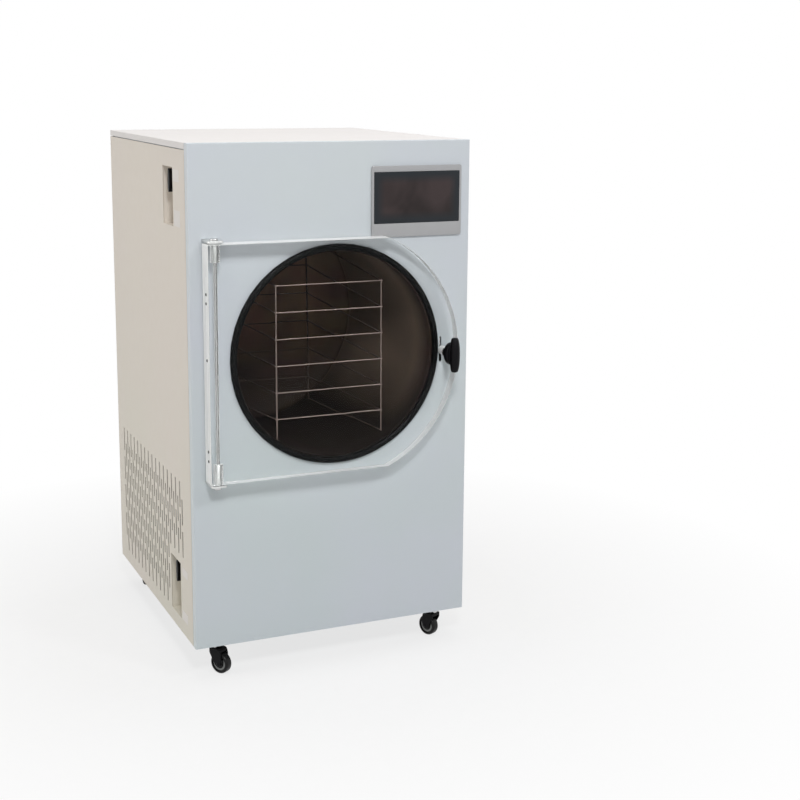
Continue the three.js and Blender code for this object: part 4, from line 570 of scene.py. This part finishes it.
def boxShape(low, high):
    shape = bmesh.new()
    bmesh.ops.create_cube(shape, size=1.0)
    size = [b - a for a, b in zip(low, high)]
    middle = [(a + b) / 2 for a, b in zip(low, high)]
    shape.transform(Matrix.Translation(middle) @ Matrix.Diagonal((*size, 1.0)))
    return shape


# Works a piece's modifiers into its mesh.
def settle(piece):
    graph = bpy.context.evaluated_depsgraph_get()
    mesh = bpy.data.meshes.new_from_object(piece.evaluated_get(graph))
    piece.modifiers.clear()
    piece.data = mesh


def cutWith(piece, tools):
    for tool in tools:
        mesh = bpy.data.meshes.new("cutter")
        bmesh.ops.recalc_face_normals(tool, faces=tool.faces)
        tool.to_mesh(mesh)
        tool.free()
        cutter = bpy.data.objects.new("cutter", mesh)
        bpy.context.scene.collection.objects.link(cutter)
        step = piece.modifiers.new("cut", "BOOLEAN")
        step.object = cutter
        step.operation = "DIFFERENCE"
        step.solver = "EXACT"
        settle(piece)
        bpy.data.objects.remove(cutter)


# Rounds the edges where faces meet at more than edgesOver degrees.
def bevel(piece, width, segments):
    look = {"edgesOver": 32, "sharpOver": 40}
    step = piece.modifiers.new("bevel", "BEVEL")
    step.width = width
    step.segments = segments
    step.limit_method = "ANGLE"
    step.angle_limit = math.radians(look["edgesOver"])
    step.use_clamp_overlap = True
    settle(piece)
    smoothShaded(piece.data, look["sharpOver"])


# Remeshes a piece finely and relaxes it, so that every edge is rounded as a moulding's is.
def relax(piece, voxel, rounds):
    remesh = piece.modifiers.new("remesh", "REMESH")
    remesh.mode = "VOXEL"
    remesh.voxel_size = voxel
    smooth = piece.modifiers.new("relax", "SMOOTH")
    smooth.factor = 0.5
    smooth.iterations = rounds
    settle(piece)
    smoothShaded(piece.data)


# A piece with the shape of a node's solid, its flats made whole again, ready for rounding.
def copyOfNode(name, nodeName, body, finish=None):
    look = {"join": 1e-6, "flatUnder": 1.0}
    shape = bmesh.new()
    shape.from_mesh(nodes[nodeName].data)
    bmesh.ops.remove_doubles(shape, verts=shape.verts, dist=look["join"])
    flat = math.radians(look["flatUnder"])
    bmesh.ops.dissolve_limit(shape, angle_limit=flat, verts=shape.verts, edges=shape.edges)
    return newPiece(name, meshFrom(name, shape), slotOfNode[nodeName], body, [nodeName], finish)


def softened(name, nodeName, body, width, segments=3, finish=None):
    bevel(copyOfNode(name, nodeName, body, finish), width, segments)


# The clear slab, straight on its hinged side and round on the other, bored for rod, bushes and latch.
def makeDoor():
    look = {
        "edgeRound": 0.0024, "edgeSteps": 4, "arcSteps": 120, "sharpOver": 30,
        "rodBore": 0.0046, "bushBore": 0.0113, "latchBore": 0.0103,
        "fit": 0.0003, "past": 0.01,  # the gap round what is let in, and how far a cutter stands out
    }
    low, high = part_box("door_panel")
    past, fit = look["past"], look["fit"]
    radius = high.x - chamberAxis.x
    middle = (high.z + low.z) / 2
    swing = math.degrees(math.asin((high.z - low.z) / 2 / radius))
    outline = [(low.x, low.z)]
    outline += arcPoints(chamberAxis.x, middle, radius, -swing, swing, look["arcSteps"])
    outline += [(low.x, high.z)]
    shape = slab(outline, low.y, high.y)
    door = newPiece("doorSlab", meshFrom("doorSlab", shape), "clear_acrylic", "door", ["door_panel"])
    bevel(door, look["edgeRound"], look["edgeSteps"])

    upper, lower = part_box("upper_hinge_bush"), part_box("lower_hinge_bush")
    latch = middleOf("latch_bush")
    stripLow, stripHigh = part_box("door_edge_strip")
    gap = Vector((fit, fit, fit))
    cutWith(door, [
        bore(look["rodBore"], low.z - past, high.z + past, (0, 0, 1), rodCentre),
        bore(look["bushBore"], upper[0].z - fit, upper[1].z + past, (0, 0, 1), rodCentre),
        bore(look["bushBore"], lower[0].z - past, lower[1].z + fit, (0, 0, 1), rodCentre),
        bore(look["latchBore"], low.y - past, high.y + past, (0, 1, 0), (latch.x, 0, latch.z)),
        boxShape(stripLow - gap - Vector((past, 0, 0)), stripHigh + gap),
    ])
    smoothShaded(door.data, look["sharpOver"])


# The seal, a flat ring with a round lip towards the door.
def makeGasket():
    look = {"width": 0.014, "lip": 0.0055, "lipSteps": 14}
    low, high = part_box("door_gasket")
    outer = (high.x - low.x) / 2
    half = look["width"] / 2
    turns = [math.pi * i / look["lipSteps"] for i in range(look["lipSteps"] + 1)]
    bulge = [(outer - half + half * math.cos(a), low.y + look["lip"] * (1 - math.sin(a))) for a in turns]
    profile = [(outer, high.y)] + bulge + [(outer - look["width"], high.y)]
    shape = lathe(profile, roundness["chamber"], (0, 1, 0), chamberCentre, closedLoop=True)
    newPiece("doorSeal", meshFrom("doorSeal", shape), "black_rubber", "cabinet", ["door_gasket"])


# The chamber's drum: a flange at its mouth, and a dished end with a port.
def makeDrum():
    look = {
        "inside": 0.235, "wall": 0.003, "flange": 0.008, "port": 0.016, "portLength": 0.030,
        "dish": 0.045, "dishAngle": 84, "dishSteps": 16,
    }
    low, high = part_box("chamber_drum")
    rim = (high.x - low.x) / 2
    back = high.y - look["portLength"]
    start = back - look["dish"]
    outside = look["inside"] + look["wall"]
    portOutside = look["port"] + look["wall"]

    def dish(radius, depth):
        steps = look["dishSteps"]
        turns = [math.radians(look["dishAngle"]) * i / steps for i in range(steps + 1)]
        return [(radius * math.cos(t), start + depth * math.sin(t)) for t in turns]

    profile = [(look["inside"], low.y)]
    profile += dish(look["inside"], look["dish"] - look["wall"])
    profile += [(look["port"], back - look["wall"]), (look["port"], high.y)]
    profile += [(portOutside, high.y), (portOutside, back)]
    profile += dish(outside, look["dish"])[::-1]
    profile += [(outside, low.y + look["flange"]), (rim, low.y + look["flange"]), (rim, low.y)]
    shape = lathe(profile, roundness["chamber"], (0, 1, 0), chamberCentre, closedLoop=True)
    mesh = meshFrom("chamberShell", shape, sharpAngle=50.0)
    newPiece("chamberShell", mesh, "stainless", "cabinet", ["chamber_drum"])


# Adds one straight wire with rounded ends.
def addWire(shape, start, end, radius):
    a, b = Vector(start), Vector(end)
    length = (b - a).length
    face, edge = radius * 0.7, radius * 0.3
    profile = [(0, 0), (face, 0), (radius, edge), (radius, length - edge), (face, length), (0, length)]
    addShape(shape, lathe(profile, roundness["wire"], (b - a).normalized(), a))


# Four posts on two feet, and four wires at each level, of which two end in stubs past the posts.
def makeRack():
    look = {"levels": 6, "pitch": 0.0602, "wire": 0.0013, "post": 0.0017, "overhang": 0.004, "stub": 0.0036}
    low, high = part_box("tray_rack")
    left, right = low.x + look["post"], high.x - look["post"]
    front, back = low.y + look["overhang"], high.y - look["overhang"]
    top = high.z - 2 * look["post"]
    foot = low.z + look["wire"]
    shape = bmesh.new()
    for x in (left, right):
        for y in (front, back):
            addWire(shape, (x, y, low.z), (x, y, high.z), look["post"])
        addWire(shape, (x, low.y, foot), (x, high.y, foot), look["wire"])
    for level in range(look["levels"]):
        z = top - level * look["pitch"]
        for x in (left, right):
            addWire(shape, (x, front, z), (x, back, z), look["wire"])
        for y in (front, back):
            addWire(shape, (left - look["stub"], y, z), (right + look["stub"], y, z), look["wire"])
    mesh = meshFrom("trayRackWires", shape)
    newPiece("trayRackWires", mesh, "bright_steel", "cabinet", ["tray_rack"], wireFinish("rackWire"))


# The through rod, with a domed head on the upper ear and a nut under the door's lower bush.
def makeHingeRod():
    look = {
        "rod": 0.004, "chamfer": 0.0008, "nut": 0.008, "nutHeight": 0.007, "fit": 0.0003,
        "headSide": 0.0016, "headRound": 0.0024, "headTurns": (0.4, 0.8, 1.2), "headFlat": 0.006,
    }
    low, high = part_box("hinge_rod")
    rod, chamfer, nut, dome = look["rod"], look["chamfer"], look["nut"], look["headRound"]
    head = (high.x - low.x) / 2
    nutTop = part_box("lower_hinge_ear")[0].z - look["fit"]
    nutLow = nutTop - look["nutHeight"]
    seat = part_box("upper_hinge_ear")[1].z + look["fit"]
    domeLow = seat + look["headSide"]
    profile = [(0, low.z), (rod - chamfer, low.z), (rod, low.z + chamfer), (rod, nutLow)]
    profile += [(nut - chamfer, nutLow), (nut, nutLow + chamfer)]
    profile += [(nut, nutTop - chamfer), (nut - chamfer, nutTop), (rod, nutTop)]
    profile += [(rod, seat), (head, seat), (head, domeLow)]
    for turn in look["headTurns"]:
        profile.append((head - dome + dome * math.cos(turn), domeLow + dome * math.sin(turn)))
    profile += [(look["headFlat"], high.z), (0, high.z)]
    shape = lathe(profile, roundness["turned"], (0, 0, 1), rodCentre)
    newPiece("hingeRod", meshFrom("hingeRod", shape), "bright_steel", "cabinet", ["hinge_rod"])


# Two collared bushes in the door and two ears on the cabinet, in satin steel.
def makeHinge():
    look = {
        "satin": (0.90, 0.905, 0.90), "satinRoughness": 0.38, "earRound": 0.0007,
        "bore": 0.0044, "body": 0.011, "lead": 0.0006, "leadDrop": 0.0004,
        "collar": 0.013, "collarHeight": 0.0019, "collarEdge": 0.0004, "collarFace": 0.0005,
    }
    makeHingeRod()
    satin = drawnSteel("satinSteel", look["satin"], look["satinRoughness"], lines=(300.0, 300.0, 40.0))
    body, collar = look["body"], look["collar"]
    for name, nodeName, up in (("upperBush", "upper_hinge_bush", 1), ("lowerBush", "lower_hinge_bush", -1)):
        low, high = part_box(nodeName)
        far, near = (low.z, high.z) if up > 0 else (high.z, low.z)
        collarStart = near - up * look["collarHeight"]
        profile = [(look["bore"], far), (body - look["leadDrop"], far), (body, far + up * look["lead"])]
        profile += [(body, collarStart), (collar - look["collarEdge"], collarStart)]
        profile += [(collar, collarStart + up * look["collarEdge"]), (collar, near - up * look["collarFace"])]
        profile += [(collar - look["collarFace"], near), (look["bore"], near)]
        shape = lathe(profile, roundness["turned"], (0, 0, 1), rodCentre, closedLoop=True)
        newPiece(name, meshFrom(name, shape), "bright_steel", "door", [nodeName], satin)
    softened("upperEar", "upper_hinge_ear", "cabinet", look["earRound"], 3, satin)
    softened("lowerEar", "lower_hinge_ear", "cabinet", look["earRound"], 3, satin)


# The bright strip let into the door's hinged edge.
def makeDoorStrip():
    look = {"rubbed": (0.95, 0.95, 0.95), "bright": (0.99, 0.99, 0.99), "roughness": 0.3, "edgeRound": 0.0004}
    finish = Finish("stripPolish", Metallic=0.2)
    rub = finish.noise(30.0, 4.0, stretch=(1.0, 1.0, 0.2))
    finish.put(
        Base_Color=finish.mix(rub, tone(*look["rubbed"]), tone(*look["bright"])),
        Roughness=look["roughness"] + rub * 0.1,
    )
    softened("doorStrip", "door_edge_strip", "door", look["edgeRound"], 2, finish)


# Dark socket screws in the door's hinged edge, at heights from the chamber's axis.
def makeDoorScrews():
    look = {
        "heights": (0.159, 0.139, 0.013, -0.193, -0.215), "radius": 0.0034, "stand": 0.0012, "depth": 0.004,
        "face": 0.8, "socket": 0.0016, "socketFoot": 0.0015,
    }
    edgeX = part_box("door_panel")[0].x
    stripY = middleOf("door_edge_strip").y
    radius, stand = look["radius"], look["stand"]
    profile = [(0, -stand * 0.1), (look["socketFoot"], 0), (look["socket"], stand)]
    profile += [(radius * look["face"], stand), (radius, stand * 0.5), (radius, -look["depth"])]
    profile += [(0, -look["depth"])]
    shape = bmesh.new()
    for height in look["heights"]:
        place = (edgeX, stripY, chamberAxis.z + height)
        addShape(shape, lathe(profile, roundness["screw"], (-1, 0, 0), place))
    finish = moulded("screwBlack", (0.09, 0.09, 0.095), 0.3, grainScale=500.0, grainHeight=0.00004)
    newPiece("doorScrews", meshFrom("doorScrews", shape), "black_enamel", "door", (), finish)


# A turned hub that widens from a neck, run into an upright oval wing.
def makeKnob():
    look = {
        "neck": 0.0085, "neckFlare": 0.001, "neckLength": 0.008, "hub": 0.0265, "hubWidth": 0.66,
        "hubShoulder": 0.0125, "hubStart": 0.016, "hubRound": 0.002, "hubFront": 0.0265,
        "faceRound": 0.001, "faceSide": 0.0035, "faceFlat": 0.4, "faceDepth": 0.005, "faceMiddle": 0.006,
        "wingHeight": 0.0405, "wingHalf": 0.0115, "wingDepth": 0.0125, "wingPlace": 0.0130,
        "wingBow": 0.002, "wingSwell": 0.28, "wingSpread": 0.8, "endTaper": 0.12,
        "rings": 28, "sides": 32, "voxel": 0.0009, "relaxing": 8,
    }
    low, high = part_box("latch_knob")
    axis = (low + high) / 2
    neck, hub = look["neck"], look["hub"]
    front = high.y - look["hubFront"]
    profile = [(0, high.y), (neck, high.y), (neck + look["neckFlare"], high.y - look["neckLength"])]
    profile += [(hub - look["hubRound"], high.y - look["hubShoulder"]), (hub, high.y - look["hubStart"])]
    profile += [(hub - look["faceRound"], front - look["faceSide"])]
    profile += [(hub * look["faceFlat"], front - look["faceDepth"]), (0, front - look["faceMiddle"])]
    shape = lathe(profile, roundness["hub"], (0, 1, 0), (0, 0, 0))
    shape.transform(Matrix.Translation((axis.x, 0, axis.z)) @ Matrix.Diagonal((look["hubWidth"], 1, 1, 1)))

    sides = look["sides"]
    turns = [2 * math.pi * k / sides for k in range(sides)]
    rings = []
    for i in range(1, look["rings"]):
        rising = math.pi * i / look["rings"] - math.pi / 2
        height = math.copysign(abs(math.sin(rising)) ** look["wingSpread"], rising)
        taper = math.cos(rising) ** look["wingSwell"] * (1 - look["endTaper"] * height * height)
        half, deep = look["wingHalf"] * taper, look["wingDepth"] * taper
        y = low.y + look["wingPlace"] + look["wingBow"] * height * height
        z = axis.z + look["wingHeight"] * height
        ring = [(axis.x + half * math.cos(a), y + deep * math.sin(a), z) for a in turns]
        rings.append([shape.verts.new(point) for point in ring])
    for near, far in zip(rings, rings[1:]):
        for k in range(sides):
            j = (k + 1) % sides
            shape.faces.new([near[k], near[j], far[j], far[k]])
    shape.faces.new(rings[0][::-1])
    shape.faces.new(rings[-1])
    knob = newPiece("latchKnob", meshFrom("latchKnob", shape), "black_plastic", "latch", ["latch_knob"])
    relax(knob, look["voxel"], look["relaxing"])


def makeLatch():
    look = {"bushRound": 0.0005, "shaftRound": 0.0004}
    makeKnob()
    softened("latchBush", "latch_bush", "door", look["bushRound"])
    softened("latchShaft", "latch_shaft", "latch", look["shaftRound"])


def makeScreen():
    look = {"bezelRound": 0.0016, "paneRound": 0.0005}
    softened("screenBezel", "screen_housing", "cabinet", look["bezelRound"], 4)
    softened("screenPane", "screen_glass", "cabinet", look["paneRound"])


def makeValves():
    look = {"pocketRound": 0.0007, "leverVoxel": 0.0008, "leverRelaxing": 6}
    for which in ("vent", "drain"):
        softened(which + "Pocket", which + "_valve_pocket", "cabinet", look["pocketRound"], 2)
        lever = copyOfNode(which + "Lever", which + "_valve_handle", which + "_lever")
        relax(lever, look["leverVoxel"], look["leverRelaxing"])


# Bare plates beside the valve pockets, where a machine carries its labels.
def makeLabelPlaces():
    look = {
        "thickness": 0.0003,
        # from and to, back from the front face, then up from the side panel's foot
        "places": (
            (0.066, 0.115, 1.061, 1.088),
            (0.062, 0.112, 0.962, 0.998),
            (0.058, 0.103, 0.146, 0.165),
            (0.063, 0.110, 0.035, 0.059),
        ),
    }
    side = cadLow.x
    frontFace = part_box("front_panel")[0].y
    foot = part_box("left_side_panel")[0].z
    shape = bmesh.new()
    for near, far, low, high in look["places"]:
        addShape(shape, boxShape(
            (side - look["thickness"], frontFace + near, foot + low),
            (side + look["thickness"], frontFace + far, foot + high),
        ))
    finish = moulded("labelStock", (0.86, 0.84, 0.82), 0.38, grainHeight=0.00002)
    newPiece("labelPlaces", meshFrom("labelPlaces", shape), "side_paint", "cabinet", (), finish)


# Pan head screws that hold the back panel.
def makeBackScrews():
    look = {
        "inset": 0.014, "ends": 0.05, "rows": 5, "radius": 0.0042, "stand": 0.0022, "depth": 0.0008,
        "socket": 0.0013, "socketFoot": 0.0011,
        # shares of the head's height, and of its radius and height
        "socketDepths": (0.45, 0.5), "dome": ((0.6, 0.92), (0.9, 0.5)),
    }
    low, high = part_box("back_panel")
    radius, stand, depth = look["radius"], look["stand"], look["depth"]
    middleDepth, footDepth = look["socketDepths"]
    profile = [(0, stand * middleDepth), (look["socketFoot"], stand * footDepth), (look["socket"], stand)]
    profile += [(radius * across, stand * up) for across, up in look["dome"]]
    profile += [(radius, 0), (radius, -depth), (0, -depth)]
    step = (high.z - low.z - 2 * look["ends"]) / (look["rows"] - 1)
    shape = bmesh.new()
    for x in (low.x + look["inset"], high.x - look["inset"]):
        for row in range(look["rows"]):
            z = low.z + look["ends"] + step * row
            addShape(shape, lathe(profile, roundness["panScrew"], (0, 1, 0), (x, high.y, z)))
    newPiece("backScrews", meshFrom("backScrews", shape), "bright_steel", "cabinet")


# A wheel's section, from its bore out to the middle of its tread and back on the other side.
def wheelProfile():
    look = {
        "bore": 0.0034, "half": 0.010, "tread": 0.025, "hub": 0.0105, "chamfer": 0.0008, "webDepth": 0.003,
        "rimStart": 0.0185, "rimStep": 0.0004, "rimMiddle": 0.0195, "rimEnd": 0.0205,
        "shoulder": 0.005, "shoulderTurns": (0.3, 0.65, 1.0, 1.3, 1.57),
    }
    side, web = -look["half"], -look["half"] + look["webDepth"]
    hub, chamfer, shoulder, tread = look["hub"], look["chamfer"], look["shoulder"], look["tread"]
    profile = [(look["bore"], side), (hub - chamfer, side), (hub, side + chamfer), (hub + chamfer, web)]
    profile += [(look["rimStart"], web), (look["rimMiddle"], side + look["rimStep"]), (look["rimEnd"], side)]
    profile += [
        (tread - shoulder + shoulder * math.sin(a), side + shoulder - shoulder * math.cos(a))
        for a in look["shoulderTurns"]
    ]
    profile += [(tread, 0.0)]
    return profile + [(radius, -along) for radius, along in profile[-2::-1]]


# Each caster has a round tyre with a metal ring let into either side, and a moulded fork.
def makeCasters():
    look = {
        "ring": ((0.0125, 0.0066), (0.0128, 0.0073), (0.0172, 0.0073), (0.0175, 0.0066)),
        "ringTone": (0.48, 0.485, 0.48), "ringRoughness": 0.38,
        "tyreTone": (0.035, 0.037, 0.036), "tyreRoughness": 0.34,
        "forkVoxel": 0.0009, "forkRelaxing": 5, "plateRound": 0.0005,
    }
    tyre = moulded(
        "casterTyre", look["tyreTone"], look["tyreRoughness"],
        grainScale=600.0, grainHeight=0.00005, shine=0.22,
    )
    ringSteel = drawnSteel("casterRing", look["ringTone"], look["ringRoughness"], lines=(300.0, 300.0, 300.0))
    for corner in corners:
        wheel = "wheel_" + corner
        axis = Vector(joints[wheel]["axis"])
        centre = middleOf("caster_" + wheel)
        shape = lathe(wheelProfile(), roundness["wheel"], axis, centre, closedLoop=True)
        mesh = meshFrom("wheel", shape, sharpAngle=40.0)
        newPiece(wheel, mesh, "black_rubber", wheel, ["caster_" + wheel], tyre)
        rings = bmesh.new()
        for side in (-1, 1):
            band = [(radius, side * along) for radius, along in look["ring"]]
            addShape(rings, lathe(band, roundness["wheel"], axis, centre, closedLoop=True))
        newPiece("wheelRings_" + corner, meshFrom("rings", rings), "bright_steel", wheel, (), ringSteel)
        fork = copyOfNode("fork_" + corner, "caster_fork_" + corner, "swivel_" + corner)
        relax(fork, look["forkVoxel"], look["forkRelaxing"])
        softened("plate_" + corner, "caster_plate_" + corner, "cabinet", look["plateRound"], 2)


makeDoor()
print("door made")
makeGasket()
makeDrum()
makeRack()
print("chamber made")
makeHinge()
makeDoorStrip()
makeDoorScrews()
makeLatch()
print("hinge and latch made")
makeScreen()
makeValves()
makeLabelPlaces()
makeBackScrews()
makeCasters()
print("controls and casters made")


# Room, lamps and camera

# A floor that shows white from afar, and keeps part of the shadow near the object.
def makeFloor():
    look = {
        "halfSize": 12.0, "dark": (0.90, 0.90, 0.90), "pale": (0.93, 0.93, 0.93),
        "whiteness": 0.72, "shadowReach": 0.6, "fadeWidth": 0.9,
    }
    size = look["halfSize"]
    square = bmesh.new()
    outline = ((-size, -size), (size, -size), (size, size), (-size, size))
    square.faces.new([square.verts.new((x, y, 0.0)) for x, y in outline])
    mesh = bpy.data.meshes.new("floor")
    square.to_mesh(mesh)
    square.free()
    floor = bpy.data.objects.new("floor", mesh)
    bpy.context.scene.collection.objects.link(floor)
    finish = Finish("floorWhite", Roughness=0.9, Specular_IOR_Level=0.1)
    finish.put(Base_Color=finish.mix(finish.noise(30.0), tone(*look["dark"]), tone(*look["pale"])))
    across, back = finish.along("X"), finish.along("Y")
    away = (across * across + back * back) ** 0.5
    white = look["whiteness"] + away.rise(look["shadowReach"], look["fadeWidth"]) * (1.0 - look["whiteness"])
    glow = finish.node("Emission", {}, {"Color": (1.0, 1.0, 1.0, 1.0), "Strength": 1.0})
    finish.blend(finish.rays("Is Camera Ray", "Is Glossy Ray", "Is Transmission Ray") * white, glow)
    mesh.materials.append(finish.material)


# A sky that is white to look at, and lights the object less than that.
def makeWorld():
    look = {"light": 0.28, "white": 1.0}
    world = bpy.data.worlds.new("studio")
    bpy.context.scene.world = world
    world.use_nodes = True
    sky = Graph(world.node_tree)
    shown = sky.rays("Is Camera Ray", "Is Glossy Ray", "Is Transmission Ray")
    strength = sky.node("MapRange", {}, {"Value": shown, "To Min": look["light"], "To Max": look["white"]})
    background = sky.node("Background", {}, {"Color": (1.0, 1.0, 1.0, 1.0), "Strength": strength})
    sky.node("OutputWorld", {}, {"Surface": background})


# place, what it looks at, width and height, watts, colour
lamps = {
    "overhead": ((0.2, 0.2, 3.3), (0, 0, 0.8), (2.6, 2.6), 32, (1.0, 0.99, 0.97)),
    "frontSoftbox": ((-0.9, -3.2, 2.95), (0, -0.3, 0.65), (0.45, 0.45), 46, (0.98, 0.99, 1.0)),
    "rightSoftbox": ((1.35, -3.0, 3.3), (0, -0.3, 0.65), (0.45, 0.45), 24, (0.98, 0.99, 1.0)),
    "rightFill": ((3.6, 0.2, 1.6), (0, 0, 0.6), (1.6, 2.0), 14, (1.0, 0.99, 0.97)),
    "leftFill": ((-3.6, 0.2, 1.6), (0, 0, 0.6), (1.6, 2.0), 31, (1.0, 0.975, 0.92)),
}


def makeLamps():
    for name, (place, target, size, power, colour) in lamps.items():
        light = bpy.data.lights.new(name, "AREA")
        light.shape = "RECTANGLE"
        light.size, light.size_y = size
        light.energy = power
        light.color = colour
        lamp = bpy.data.objects.new(name, light)
        lamp.location = place
        lamp.rotation_euler = (Vector(target) - Vector(place)).to_track_quat("-Z", "Y").to_euler()
        bpy.context.scene.collection.objects.link(lamp)


# The camera's turn is yaw from +Y towards +X, then pitch, then roll, all in degrees.
def makeCamera():
    look = {
        "place": (-1.1753, -3.2869, 1.3816), "yaw": 24.207, "pitch": -10.519, "roll": 0.45,
        "lens": 63.894, "sensor": 36.0, "rise": -0.08,
    }
    yaw, pitch, roll = (math.radians(look[key]) for key in ("yaw", "pitch", "roll"))
    ahead = Vector((math.sin(yaw) * math.cos(pitch), math.cos(yaw) * math.cos(pitch), math.sin(pitch)))
    level = Vector((math.cos(yaw), -math.sin(yaw), 0.0))
    upright = level.cross(ahead)
    right = level * math.cos(roll) + upright * math.sin(roll)
    up = upright * math.cos(roll) - level * math.sin(roll)
    data = bpy.data.cameras.new("camera")
    data.lens = look["lens"]
    data.sensor_width = look["sensor"]
    data.shift_y = look["rise"]
    data.clip_start, data.clip_end = 0.05, 60.0
    camera = bpy.data.objects.new("camera", data)
    turn = Matrix((right, up, -ahead)).transposed().to_4x4()
    camera.matrix_world = Matrix.Translation(look["place"]) @ turn
    bpy.context.scene.collection.objects.link(camera)
    bpy.context.scene.camera = camera


makeFloor()
makeWorld()
makeLamps()
makeCamera()
bpy.context.scene.view_settings.view_transform = "Standard"
print("room, lamps and camera set")
